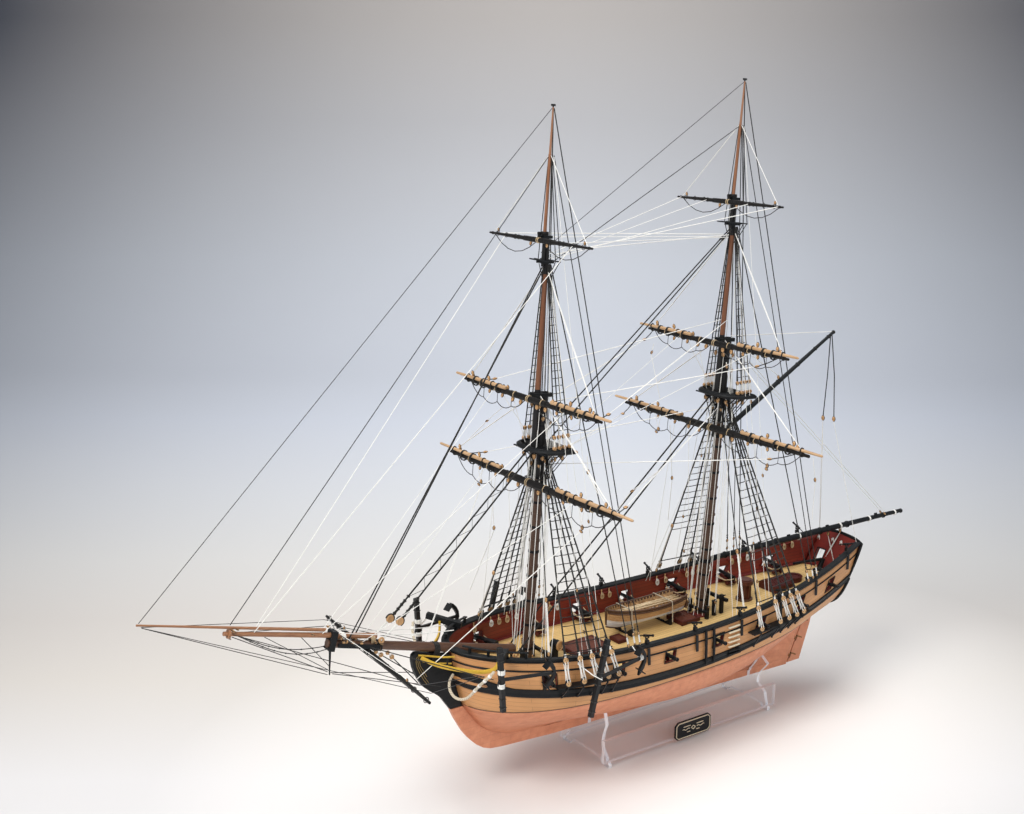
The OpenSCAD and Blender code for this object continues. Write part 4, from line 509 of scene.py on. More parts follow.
for i, x in enumerate(PINX):
    for s in (-1, 1):
        z = z_rail(x) - 3.6; y = hull_y(x, z) - 3.3
        pins.lathe((x, s * (y - 1.4), z - 3), (0, 0, 1), [(0, .32), (3.4, .36), (3.6, .62), (4.2, .5), (6.0, .62), (6.4, .25)], 8)
        (coils if (i * 7 + s) % 3 else white).cur = 0
        hank((coils if (i * 7 + s) % 3 else white), V(x, s * (y - 1.6), z + .8), V(0, -s, 0), seed=i * 2 + s)
for a, b in ((180, 114), (96, 80), (40, 24), (-20, -38), (-52, -84), (-100, -124), (-154, -170)):
    for s in (-1, 1):
        P = [V(x, s * (hull_y(x, z_rail(x) - 3.6) - 4.3), z_rail(x) - 3.6) for x in np.linspace(a, b, 8)]; flat_rail(g, P, 2.6, .9)
g.make("pin_rails", M_RED, slot="red_wood"); pins.make("belaying_pins", M_BOX, slot="boxwood"); coils.make("rope_hanks_tan", M_ROPET, slot="rope"); white.make("rope_hanks_white", M_ROPEL, slot="rope")
# gun breeching ropes and side tackles with their blocks
g = G(); tk = G()
for p in PORTS:
    y0 = hull_y(p, 103); a = math.atan2(hull_y(p + 4, 103) - hull_y(p - 4, 103), 8); R_ = rotz(a); o = V(p, y0, z_deck(p) + 1.8)
    L = lambda x, y, z: o + R_ @ V(x, y - 12.4 - (3.6 if y > 4 else 0), z)
    for s in (-1, 1):
        g.tube([L(0, -11, 7.6), L(s * 2.2, -10.4, 6.6), L(s * 4.4, -4, 4.4), L(s * 5.6, 5, 4.6), L(s * 6.4, 12.0, 7.2)], .34, 6)
        tk.tube([L(s * 3.8, -3, 4.0), L(s * 6.2, 11.8, 5.2)], .2, 5); tk.tube([L(s * 4.0, -3, 3.4), L(s * 6.6, 11.8, 4.5)], .2, 5)
        for q, t in ((.06, 0), (.9, 1)):
            c = L(s * 3.8, -3, 3.7) * (1 - q) + L(s * 6.4, 11.8, 4.9) * q; tk.cur = 1; tk.lathe(c - R_ @ V(0, .9, 0), R_ @ V(0, 1, 0), [(0, .3), (.3, .8), (1.0, .95), (1.6, .8), (1.9, .3)], 8); tk.cur = 0
mz = G()
for p in PORTS:
    y0 = hull_y(p, 103); a = math.atan2(hull_y(p + 4, 103) - hull_y(p - 4, 103), 8); R_ = rotz(a); o = V(p, y0, z_deck(p) + 1.8)
    mz.lathe(o + R_ @ V(0, 3.6, 7.6), R_ @ V(0, 1, 0), [(0, 1.15), (.3, 1.3), (3.0, 1.22), (3.5, 1.6), (4.3, 1.72), (4.9, 1.55), (5.0, .9), (4.2, .8), (2.4, .78)], 18)
mz.mirror(); mz.make("gun_muzzles", M_IRON, slot="gun_iron")
g.mirror(); g.make("gun_breechings", M_ROPET, slot="rope"); tk.mirror(); tk.make("gun_tackles", [M_ROPEL, M_BLOCK], slot="rope")

# ------------------------------------------------------------------ ship's boat, clinker built
BC = V(28, -9, 0); BL = 84
def by(t): return 12.2 * max(0, 1 - (abs(t - .42) / (.62 if t < .42 else .58)) ** 2.3) ** .72
def bz(t): return 112.5 + 14 * (t - .45) ** 2
def bpnt(t, w, d=0):
    z0 = 98.8 + 4 * max(0, (t - .8) / .2) ** 2; zt = bz(t); a = w * math.pi / 2; h = 1 - math.cos(a)
    return V(BC[0] + (t - .5) * BL, max(0, by(t) - d) * math.sin(a) ** .8 if w > 0 else 0, z0 + d * .8 + (zt - z0) * h ** .85)
ts = [.03 + .955 * k / 40 for k in range(41)]
ws = []
for k in range(9): ws += [(k / 9, 0.30 if k else 0.0), ((k + 1) / 9 - .004, 0.0)]
rows = []
for t in ts:
    half = [bpnt(t, w, d) for w, d in ws]; rows.append([V(p[0], BC[1] - p[1], p[2]) for p in half[::-1]] + [V(p[0], BC[1] + p[1], p[2]) for p in half])
g = G(); K = len(rows[0]); nst = len(ws)
for strip in range(3):
    pass
def bmat(j):
    k = abs(j + .5 - nst) / 2.0
    return 1 if k < 4.5 else (2 if k > 7.9 else 0)
for j in range(K - 1):
    g.cur = bmat(j); o = len(g.v); g.grid([[r[j], r[j + 1]] for r in rows], [[(r[j][0], r[j][2]), (r[j + 1][0], r[j + 1][2])] for r in rows], flip=True)
g.make("ships_boat_planking", [M_BOX, M_WHITE, M_WALX], body="boat", smooth=False, solid=.8, slot="pear_wood", replaces=("boat_hull",))
g = G()
for s in (-1, 1):
    flat_rail(g, [V(bpnt(t, 1)[0], BC[1] + s * (bpnt(t, 1)[1] - .1), bpnt(t, 1)[2] + .2) for t in ts[::2]], 1.5, .9)
    flat_rail(g, [V(bpnt(t, .87)[0], BC[1] + s * (bpnt(t, .87)[1] + .25), bpnt(t, .87)[2] + .1) for t in ts[::2]], .8, 1.1)
g.box(bpnt(.035, 1) * V(1, 0, 0) + V(-.2, BC[1], 107.6), (1.0, 2 * by(.035) + .3, 9.4)); g.tube([(BC[0] + .985 * BL - BL / 2, BC[1], 103.5), (BC[0] + .49 * BL, BC[1], 108), (BC[0] + .495 * BL, BC[1], 116.4)], .8, 6)
g.tube([(bpnt(t, 0)[0], BC[1], bpnt(t, 0)[2] - .3) for t in ts], .75, 6)
g.make("boat_gunwales", M_WALX, body="boat", slot="mahogany", replaces=("boat_fittings",))
g = G()
for t in (.14, .26, .38, .5, .62, .74, .85):
    w = 2 * by(t) - 1.9; g.box((BC[0] + (t - .5) * BL, BC[1], 109.4 + (.6 if t > .8 or t < .2 else 0)), (2.6, w, .7))
for s in (-1, 1): g.box((BC[0] - 34.5, BC[1] + s * 4.2, 109.4), (9, 2.6, .6)); 
for k in range(5): g.box((BC[0] + 2, BC[1] - 4 + 2 * k, 102.0), (52, 1.5, .5))
for t in np.linspace(.08, .94, 22):
    for s in (-1, 1): g.tube([V(p[0], BC[1] + s * (p[1] - .95), p[2] + .25) for p in (bpnt(t, w, .4) for w in (.25, .45, .65, .82, .97))], .33, 5)
g.make("boat_thwarts_and_ribs", M_BOX, body="boat", slot="boxwood")
g = G()
for k in range(6):
    y = BC[1] - 4.6 + k * 1.75 + rnd.uniform(-.3, .3); a = V(BC[0] - 33 + rnd.uniform(-2, 2), y, 110.6 + .5 * (k % 2)); b = V(BC[0] + 30 + rnd.uniform(-2, 2), BC[1] + (y - BC[1]) * .8 + rnd.uniform(-.8, .8), 110.9 + .5 * ((k + 1) % 2))
    g.tube([a, (a + b) / 2, b], .5, 7); d = unit(b - a) * (1 if k % 2 else -1); e = b if k % 2 else a
    flat_rail(g, [e - d * 1, e + d * 4, e + d * 9], .5, 1.9)
g.box((BC[0] + 6, BC[1] - .5, 111.9), (30, 4.6, .45)); 
for k in range(9): g.box((BC[0] - 8 + k * 3.5, BC[1] - .5, 112.2), (.7, 4.8, .4))
g.make("boat_oars", wood("oar_ash", (0.55, 0.38, 0.2), (0.80, 0.62, 0.38), "X", 0.45), body="boat", slot="boxwood")
g = G()
for x in (50, 8):
    t = (x - BC[0]) / BL + .5; P = [V(x, BC[1] + s, 0) for s in (-1, 1)]
    pts = [V(x, BC[1] + by(t) * 1.02 * q, bz(t) + 1.2 + 0 * q) for q in (-1, -.5, 0, .5, 1)]; g.tube(pts, .3, 6)
    for s in (-1, 1): g.tube([V(x, BC[1] + s * by(t) * 1.03, bz(t) + 1.0), V(x, BC[1] + s * (by(t) + 1.2), 106), V(x, BC[1] + s * 13.4, z_deck(x) + 5.6)], .3, 6)
g.make("boat_gripes", M_ROPEC, body="boat", slot="rope")

# ------------------------------------------------------------------ masts: painted zones by height
def zoned(name, stops, rough=0.4):
    """spar finish along its height: stops are (height mm, colour) steps, over a grain that runs up the spar"""
    a = NT(name); p = a.obj(); s = a.n("SeparateXYZ", {0: p}); g = a.noise(a.mapped(p, STRETCH["Z"]), 6.0, 8.0, 0.62); f2 = a.noise(a.mapped(p, tuple(q * 4 for q in STRETCH["Z"])), 9.0, 3.0)
    lo, hi = stops[0][0], stops[-1][0] + 1
    f = a.n("MapRange", {"Value": s.outputs[2], "From Min": lo * .001, "From Max": hi * .001}).outputs[0]
    r = a.n("ValToRGB", {"Fac": f}); r.color_ramp.interpolation = "CONSTANT"; e = r.color_ramp.elements
    while len(e) > 1: e.remove(e[-1])
    e[0].position = 0; e[0].color = (*stops[0][1], 1)
    for z, c in stops[1:]: q = e.new((z - lo) / (hi - lo)); q.color = (*c, 1)
    col = a.mix(1.0, r.outputs["Color"], a.ramp(g, [(0.25, (0.62,) * 3), (0.75, (1.25,) * 3)]), "MULTIPLY")
    return a.set(color=col, rough=a.ramp(g, [(0.2, (rough - .06,) * 3), (0.8, (rough + .15,) * 3)]), normal=a.bump(f2, 0.35, 0.00012), coat=0.05, spec=0.35)
BLK = (0.011, 0.010, 0.010); WAL = (0.095, 0.052, 0.033); WAL2 = (0.125, 0.072, 0.046); MAH = (0.19, 0.075, 0.036); MAH2 = (0.27, 0.115, 0.055); MAH3 = (0.33, 0.16, 0.085)
MASTM = {}
for m, nm in ((0, "fore"), (1, "main")):
    MASTM[nm + "_lower_mast"] = zoned(nm + "_lower_mast_finish", [(80, WAL), (TOP[m] - 22, BLK)])
    MASTM[nm + "_topmast"] = zoned(nm + "_topmast_finish", [(TOP[m] - 10, BLK), (CAP[m] + 6, MAH), (XT[m] - 8, BLK)])
    MASTM[nm + "_topgallant_mast"] = zoned(nm + "_topgallant_finish", [(XT[m] - 10, BLK), (TCAP[m] + 3, MAH2), (HND[m], MAH3), (TRK[m] - 1.6, BLK)])
# iron hoops on the lower masts and bands below the cap
for m, nm in ((0, "fore"), (1, "main")):
    g = G(); w = G(); R_ = RM(m)
    for k in range(8):
        z = 108 + k * (TOP[m] - 130) / 7.0; r = 4.3 - .1 * k; c = M(m, z)
        g.lathe(c - R_ @ V(0, 0, 1.0), R_ @ V(0, 0, 1), [(0, r - .3), (.05, r + .22), (.45, r + .34), (1.6, r + .34), (1.95, r + .22), (2.0, r - .3)], 22)
    for z in (CAP[m] - 6, CAP[m] - 14, CAP[m] - 22):
        c = M(m, z, 3.0); g.lathe(M(m, z) - R_ @ V(0, 0, .8), R_ @ V(0, 0, 1), [(0, 3.0), (.1, 3.55), (1.4, 3.55), (1.5, 3.0)], 16)
    g.make(nm + "_mast_hoops", M_INKZ, slot="black_wood")
    g = G(); zb = z_deck(MX[m]) + 2.0
    g.lathe(M(m, zb), (0, 0, 1), [(0, 7.0), (.5, 7.2), (1.4, 6.6), (2.2, 5.4), (2.3, 4.3)], 24); g.make(nm + "_mast_coat", M_RED, slot="red_wood")
    # top: battens and rim
    g = G(); o = M(m, TOP[m])
    L = lambda x, y, z: o + R_ @ V(x, y, z)
    rim = [(-15, -22), (-1, -22.3), (8, -17.4), (12, -9.2), (13.2, 0), (12, 9.2), (8, 17.4), (-1, 22.3), (-15, 22)]
    flat_rail(g, [L(x, y, 2.5) for x, y in rim], 1.7, .9); flat_rail(g, [L(x, y, .9) for x, y in rim], 1.2, 1.3)
    for y in np.linspace(-19, 19, 13): g.box(L(-6 if abs(y) < 8 else -3, y, 1.75), (17 if abs(y) < 8 else 20 - abs(y) * .25, .7, .5), R_, .1)
    g.make(nm + "_top_battens", M_INK, slot="black_wood")
    g = G()
    for s in (-1, 1):
        g.box(L(1, s * 5.6, -4.5), (9.5, 1.3, 7.5), R_, .3); g.box(L(3.5, s * 5.4, -9), (4.0, 1.1, 4.5), R_, .3)
    g.make(nm + "_cheeks", M_INK, slot="black_wood")

# ------------------------------------------------------------------ blocks, deadeyes, lanyards
def block(g, p, ax, size=2.6, strop=True, side=None):
    """rope-stropped block: flattened rounded shell with a strop round it"""
    size *= 1.14
    ax = unit(ax); a = V(0, 0, 1) if abs(ax[2]) < .9 else V(1, 0, 0); sd = unit(np.cross(a, ax)) if side is None else unit(side - ax * np.dot(side, ax)); th = np.cross(ax, sd); L, W, T = size, size * .74, size * .5
    rows = []; g.cur = 0
    for h in np.linspace(-1, 1, 9):
        q = max(0.06, (1 - abs(h) ** 2.6)) ** .5; k = 1 - .16 * math.exp(-(h * 3.2) ** 2) * 0
        rows.append([p + ax * h * L * .5 + sd * math.copysign(abs(math.cos(t)) ** .7, math.cos(t)) * W * .5 * q * k + th * math.copysign(abs(math.sin(t)) ** .7, math.sin(t)) * T * .5 * q for t in np.linspace(0, 2 * math.pi, 11)[:-1]])
    g.grid(rows, closed=True, flip=True); o = len(g.v) - 90; g.f += [tuple(o + j for j in range(10)), tuple(o + 80 + j for j in range(9, -1, -1))]; g.mi += [0, 0]
    if strop:
        g.cur = 1; g.tube([p + ax * math.cos(t) * (L * .5 + .12) + sd * math.sin(t) * (W * .5 + .12) for t in np.linspace(0, 2 * math.pi, 13)], .2, 4, caps=False)
        g.cur = 2; g.lathe(p - th * (T * .5 + .06), th, [(0, .1), (.02, .34), (T + .1, .34), (T + .12, .1)], 6); g.cur = 0
BM = [M_BLOCK, M_ROPED, M_IRON]
DE_M = [-33, -57, -69, -80, -90.2]; DE_F = [162, 149.5, 138.5, 129, 119.8]
ch_z = lambda x: 98.2 if x > 0 else 97.4
de_z = lambda x: 102.4 if x > 0 else 101.6
de_y = lambda x: hull_y(x, ch_z(x)) + 9.25
def shr_top(x): return M(0, TOP[0] - 3) + V((x - 140) * .085 - .6, 4.2, 0) if x > 0 else M(1, TOP[1] - 3) + V((x + 66) * .07 - .6, 4.2, 0)
def deadeye(g, p, n, up, r=2.35):
    n = unit(n); up = unit(up - n * np.dot(up, n)); sd = np.cross(n, up); g.cur = 0
    g.lathe(p - n * 1.05, n, [(0, r * .62), (.12, r * .9), (.55, r), (.8, r * .93), (1.05, r * .9), (1.3, r * .93), (1.55, r), (1.98, r * .9), (2.1, r * .62)], 20)
    g.cur = 1
    for a in (90, 210, 330):
        q = p + up * math.sin(math.radians(a)) * r * .46 + sd * math.cos(math.radians(a)) * r * .46; g.lathe(q - n * 1.09, n, [(0, .34), (2.18, .34)], 6)
    g.cur = 0
de = G(); lan = G(); iron = G(); sh = G(); srv = G()
for x in DE_M + DE_F:
    b = V(x, de_y(x), de_z(x) + 1.0); t = shr_top(x); b0 = V(x, de_y(x), de_z(x)); d = unit(t - b0); u = b0 + d * 17.5; n = unit(V(0, 1, 0) - d * d[1])
    deadeye(de, b, n, V(0, 0, 1)); deadeye(de, u, n, -d)
    iron.tube([b + n * 0 + unit(np.cross(n, d)) * math.cos(q) * 2.5 + d * math.sin(q) * 2.5 for q in np.linspace(0, 2 * math.pi, 17)], .34, 5, caps=False)
    iron.tube([b - d * 2.4, V(x, de_y(x) - .1, ch_z(x) + .4), V(x, de_y(x) - .4, ch_z(x) - 1.2)], .45, 5)
    sd = unit(np.cross(n, d))
    for k in (-1, 1):
        for f in (-1, 1): lan.tube([b + d * (.9 if k else 1.6) + sd * k * 1.25 + n * f * 1.05, b + d * 8 + sd * (k * 1.15 + f * .25) + n * f * .75, u - d * (.9 if k else 1.6) + sd * (k * 1.25 + .0) + n * f * 1.05], .25, 5)
    for j in range(4): lan.tube([u + d * (2.7 + j * .62) + (sd * math.cos(q) + n * math.sin(q)) * (.78) for q in np.linspace(0, 2 * math.pi, 9)], .3, 4, caps=False)
    # shroud turned round the deadeye with three seizings
    sh.tube([u + sd * math.cos(q) * 2.5 - d * math.sin(q) * 2.5 for q in np.linspace(-.5, math.pi + .5, 13)], .42, 5)
    sh.tube([u + sd * 2.2 + d * 1.2, u + sd * .6 + d * 4.2, u + sd * .55 + d * 14], .5, 5); sh.tube([u - sd * 2.2 + d * 1.2, u - sd * .1 + d * 4.2, t], .66, 6)
    for q in (4.4, 8.6, 12.4): sh.tube([u + d * (q - .6) + sd * .2, u + d * (q + .6) + sd * .2], .85, 7)
de.mirror(); lan.mirror(); iron.mirror(); sh.mirror()
de.make("shroud_deadeyes", [M_BOX, M_DARK], slot="boxwood", replaces=("deadeyes",)); lan.make("deadeye_lanyards", M_ROPEL, slot="rope"); iron.make("deadeye_irons", M_IRON, slot="gun_iron")
sh.make("lower_shrouds", M_ROPED, slot="rope", replaces=("standing_rigging",))
# sheer poles and ratlines, each ratline sags a little between the shrouds
rat = G(); sp = G()
def pshr(x, z): t = shr_top(x); b = V(x, de_y(x), de_z(x)); return b + (t - b) * ((z - b[2]) / (t[2] - b[2]))
for m in (0, 1):
    D = DE_F if m == 0 else DE_M; top = D[0]; full = D if m == 0 else D[1:]
    z = 124.0; k = 0
    P = [pshr(x, 122.6) + V(0, .55, 0) for x in D]; 
    sp.tube([P[0] + V(2.2, 0, 0)] + P[1:-1] + [P[-1] - V(2.2, 0, 0)], .42, 6)
    while z < TOP[m] - 22:
        xs = D if m == 0 else (D if z > 150 else D[1:])
        P = [pshr(x, z) for x in xs]; pts = []
        for i in range(len(P) - 1):
            for q in (0, .5): pts.append(P[i] * (1 - q) + P[i + 1] * q - V(0, 0, .28 * 4 * q * (1 - q)) + V(0, .3, 0))
        pts.append(P[-1] + V(0, .3, 0)); rat.tube(pts, .25, 5)
        for p in P: rat.tube([p + V(-.2, 0, -.35), p + V(.2, 0, .35)], .56, 5)
        z += 6.1; k += 1
TMX = [-5.5, -1.8, 1.8, 5.5]
def fut(m, x): return M(m, TOP[m] + 3) + V(x - 5, 19.6, 0)
tde = G(); tl = G(); ts_ = G()
for m in (0, 1):
    for x in TMX:
        x_ = x * 1.25; t = M(m, XT[m] - 1, OT) + V(x * .2 - .5, 2.4, 0); b = fut(m, x_) + V(0, 0, 1.0); d = unit(t - b); n = unit(V(0, 1, 0) - d * d[1]); u = b + d * 8.6
        deadeye(tde, b + d * .4, n, V(0, 0, 1), 1.55); deadeye(tde, u, n, -d, 1.5); sd = unit(np.cross(n, d))
        for q in (-1, 0, 1):
            for f in (-1, 1): tl.tube([b + d * 1.0 + sd * q * .8 + n * f * .8, u - d * .7 + sd * q * .8 + n * f * .8], .15, 4)
        ts_.tube([u + d * 1.2, t], .46, 6); ts_.tube([u + d * 2.0, u + d * 3.6], .55, 6); ts_.tube([u + d * 5.0, u + d * 6.0], .5, 6)
        ts_.tube([u + sd * math.cos(q) * 1.65 - d * math.sin(q) * 1.65 for q in np.linspace(-.4, math.pi + .4, 9)], .28, 4)
        ts_.tube([fut(m, x_) + V(0, .2, -1.0), fut(m, x_) + V(0, -.6, -4.0), M(m, TOP[m] - 22) + V(x * .7, 6.8, 0)], .36, 5)
    for k in range(21):
        z = TOP[m] + 17 + k * (XT[m] - TOP[m] - 28) / 20
        def pt(x): t = M(m, XT[m] - 1, OT) + V(x * .2 - .5, 2.4, 0); b = fut(m, x * 1.25) + V(0, 0, 1.0); return b + (t - b) * ((z - b[2]) / (t[2] - b[2]))
        P = [pt(x) for x in TMX]; rat.tube([P[0] - V(.3, 0, 0)] + P[1:-1] + [P[-1] + V(.3, 0, 0)], .22, 5)
        for p in P: rat.tube([p + V(-.15, 0, -.25), p + V(.15, 0, .25)], .42, 4)
    for k in range(3):
        q = .25 + .25 * k; P = [fut(m, x * 1.25) * (1 - q) + (M(m, TOP[m] - 22) + V(x * .7, 6.8, 0)) * q for x in TMX]; rat.tube(P, .17, 4)
    ts_.tube([M(m, TOP[m] - 22) + V(-8, 6.9, 0), M(m, TOP[m] - 22) + V(8, 6.9, 0)], .5, 6)
    for x in (-4, 0.2):
        a = M(m, XT[m] + 2, OT) + V(x - .5, 10.6, 0); b = M(m, HND[m] - 1, OG) + V(x * .2 - .3, 1.7, 0); ts_.tube([a, b], .24, 5); ts_.tube([a, M(m, XT[m] - 14, OT) + V(x * .3, 2.6, 0)], .24, 5)
    # catharpins
    for k in range(4): x = -7 + k * 4.6; ts_.tube([M(m, TOP[m] - 22) + V(x, -6.8, -.4), M(m, TOP[m] - 22) + V(x, 6.8, -.4)], .2, 4)
rat.mirror(); sp.mirror(); tde.mirror(); tl.mirror(); ts_.mirror()
rat.make("ratlines_rope", M_ROPED, slot="rope", replaces=("ratlines",)); sp.make("sheer_poles", M_IRON, slot="gun_iron"); tde.make("topmast_deadeyes", [M_BLOCK, M_DARK], slot="boxwood"); tl.make("topmast_lanyards", M_ROPEL, slot="rope"); ts_.make("topmast_shrouds", M_ROPED, slot="rope")

# ------------------------------------------------------------------ yards with booms, irons, blocks and footropes
def yard(nm, m, z, L, r, off, po, mr, body, booms=True, wl=1.35, hang=0):
    R_ = RM(m); o = M(m, z, off); P = lambda x, y, z: o + R_ @ V(x, y, z)
    g = G(); h = L / 2; Y = R_ @ V(0, 1, 0)
    prof = []; N = 40
    for k in range(N + 1):
        t = -1 + 2 * k / N; q = abs(t); rr = r if q < .36 else r * (1 - .5 * ((q - .36) / .64) ** 1.5); prof.append(((t + 1) * h, rr))
    prof = [(0, prof[0][1] * .5)] + prof + [(2 * h, prof[-1][1] * .5)]; g.lathe(P(0, -h, 0), Y, prof, 16)
    for k in range(8):   # battens of the octagonal middle part
        a = math.radians(22.5 + 45 * k); g.box(P(math.cos(a) * (r + .12), 0, math.sin(a) * (r + .12)), (.45, L * .26, r * .74), R_ @ roty(-a), .1)
    for s in (-1, 1):
        for q in (.055, .13, .2, .47): g.lathe(P(0, s * L * q - .5, 0), Y, [(0, r * .7), (.08, r * (1.18 if q < .4 else .78)), (.92, r * (1.18 if q < .4 else .78)), (1, r * .7)], 16)
        g.box(P(r * .2, s * L * .045, r * .9), (1.2, 3.6, 1.3), R_, .2)
    # parrel ring and arm to the mast: the rope parrel holds the yard off the mast
    c = po - off
    hh = 1.3 if wl > 1 else 1.08; g.lathe(P(c, 0, hang - hh), R_ @ V(0, 0, 1), [(0, mr + .1), (0, mr + wl - .25), (.4, mr + wl), (2 * hh - .4, mr + wl), (2 * hh, mr + wl - .25), (2 * hh, mr + .1), (0, mr + .1)], 20)
    if hang: g.box(P(.1, 0, hang / 2 + .6), (1.5, 2.4, hang + 1.2), R_, .3)
    g.box(P((c - r * .6 + mr) / 2 + .2 + (.6 if hang else 0), 0, hang), (max(1.0, -c - mr + .8) + (.8 if hang else 0), 2.4, 2 * hh - .4), R_, .3)
    g.make(nm + "_spar", M_INKY, body=body, slot="black_wood", replaces=(nm,))
    if booms:
        g = G(); ir = G(); rb = 1.5
        for s in (-1, 1):
            zc = r + 1.0; a = P(1.0, s * L * .165, zc); b = P(1.0, s * L * .565, zc - .2); g.lathe(a, unit(b - a), [(0, rb * .7), (.5, rb), (np.linalg.norm(b - a) * .55, rb), (np.linalg.norm(b - a) - 1, rb * .66), (np.linalg.norm(b - a), rb * .4)], 12)
            for q in (.27, .468):
                rr = r * (.95 if q < .4 else .62); c0 = P(0, s * L * q, 0); ir.tube([c0 + R_ @ V(math.cos(t) * (rr + .3), 0, math.sin(t) * (rr + .3)) for t in np.linspace(0, 2 * math.pi, 15)], .5, 5, caps=False)
                c1 = P(1.0, s * L * q, zc - .1); ir.tube([c1 + R_ @ V(math.cos(t) * 1.9, 0, math.sin(t) * 1.9) for t in np.linspace(0, 2 * math.pi, 13)], .48, 5, caps=False); ir.box((c0 + c1) / 2, (.9, .9, 1.6), R_, .1)
            for q in (.19, .215): ir.tube([P(.5, s * L * q, zc) + R_ @ V(math.cos(t) * (rb + .1), 0, math.sin(t) * (rb + .1)) for t in np.linspace(0, 2 * math.pi, 11)], .3, 4, caps=False)
        g.make(nm + "_studding_booms", M_BOOMY, body=body, slot="boxwood"); ir.make(nm + "_boom_irons", M_IRON, body=body, slot="gun_iron")
    b = G(); w = G(); f = G()
    for s in (-1, 1):
        for q, dz, sz in (((.06, -1, 3.7), (.12, -1, 3.5), (.2, -1, 3.0), (.3, -1, 2.8), (.165, 1, 2.8), (.44, 1, 3.4)) if booms else ((.08, -1, 2.7), (.42, 1, 2.3))):
            c = P(-.3 if dz < 0 else -.8, s * L * q, dz * (r * .9 + sz * .62)); block(b, c, R_ @ V(.15, s * .25, dz), sz, side=Y)
        # footrope with stirrups
        n = 4 if booms else 1; d = L * (.072 if booms else .085); pts = []
        q0, q1 = .46, .03
        S_ = [q0 + (q1 - q0) * i / n for i in range(n + 1)]
        for i in range(n):
            for t in np.linspace(0, 1, 7)[:-1]:
                q = S_[i] + (S_[i + 1] - S_[i]) * t; e0 = 0 if i == 0 else d * .78; e1 = 0 if i == n - 1 else d * .78
                if n == 1: dz = d * 4 * t * (1 - t)
                else: dz = e0 + (e1 - e0) * t + (d * .24) * 4 * t * (1 - t)
                pts.append(P(-1.2, s * L * q, -dz - r * .3))
        pts.append(P(-1.0, s * L * q1, -r * .8)); f.tube(pts, .24, 5)
        if n > 1:
            for i in range(1, n): f.tube([P(-r * .6, s * L * S_[i], .2), P(-1.2, s * L * S_[i], -d * .4), P(-1.2, s * L * S_[i], -d * .78 - r * .3)], .2, 4)
        # jackstay-like lashings and robands
        for q in np.linspace(.05, .42, 7 if booms else 5): f.tube([P(math.cos(t) * (r + .22), s * L * q, math.sin(t) * (r + .22)) for t in np.linspace(0, 2 * math.pi, 11)], .17, 4, caps=False)
        if booms:
            for q in (.1, .24, .36): w.tube([P(math.cos(t) * (r + .3) + .2, s * L * q + .4 * math.sin(3 * t), math.sin(t) * (r + .3) + .3) for t in np.linspace(0, 2 * math.pi, 11)], .26, 4, caps=False)
    b.make(nm + "_blocks", BM, body=body, slot="boxwood"); f.make(nm + "_footropes", M_ROPED, body=body, slot="rope")
    # slings and halyard seizing in the middle
    w.tube([P(math.cos(t) * (r + .4), .9, math.sin(t) * (r + .4)) for t in np.linspace(0, 2 * math.pi, 13)], .42, 5, caps=False); w.tube([P(math.cos(t) * (r + .4), -.9, math.sin(t) * (r + .4)) for t in np.linspace(0, 2 * math.pi, 13)], .42, 5, caps=False)
    w.make(nm + "_slings", M_ROPET, body=body, slot="rope")
    return P
YP = {}
for m, nm in ((0, "fore"), (1, "main")):
    YP[nm + "_course"] = (yard(nm + "_course_yard", m, CY[m], 217, 2.5, 9.5, 0, 3.95, nm + "_course"), 217, 2.5)
    L = (172, 163)[m]; YP[nm + "_topsail"] = (yard(nm + "_topsail_yard", m, TY[m], L, 2.0, OT + 7.6, OT, 2.6, nm + "_topsail", wl=.92), L, 2.0)
    L = (125, 119)[m]; YP[nm + "_topgallant"] = (yard(nm + "_topgallant_yard", m, GY[m], L, 1.5, OG + 4.9, OG, 1.6, nm + "_topgallant", booms=False, hang=4.9), L, 1.5)

# ------------------------------------------------------------------ standing rigging on the ship
bsp = lambda x: V(x, 0, 127.6 + (x - 234.2) * .272)
JB0 = V(288, 0, 149.2); JBD = unit(V(1, 0, .25))
jb = lambda t: JB0 + t * JBD
D = G(); Wt = G(); Bk = G(); Tn = G()
def heart(g, p, d, n, r=3.0):
    """round collar heart: a turned wooden ring"""
    n = unit(n); g.cur = 0; a = unit(d - n * np.dot(d, n)); b = np.cross(n, a)
    rows = []
    for q in np.linspace(0, 2 * math.pi, 21)[:-1]:
        e = a * math.cos(q) + b * math.sin(q); rows.append([p + e * (r - 1.0 + .9 * math.cos(w)) + n * .95 * math.sin(w) for w in np.linspace(0, 2 * math.pi, 9)[:-1]])
    rows.append(rows[0]); g.grid(rows, closed=True, flip=False)
def fall(g, a, b, r=.2, n=2, spread=.7, side=None):
    """n parts of a tackle between two points"""
    d = unit(b - a); s = unit(np.cross(d, V(0, 0, 1))) if side is None else side
    for k in range(n): o = s * spread * (k - (n - 1) / 2); g.line(a + o, b + o * .8, r, n=4)
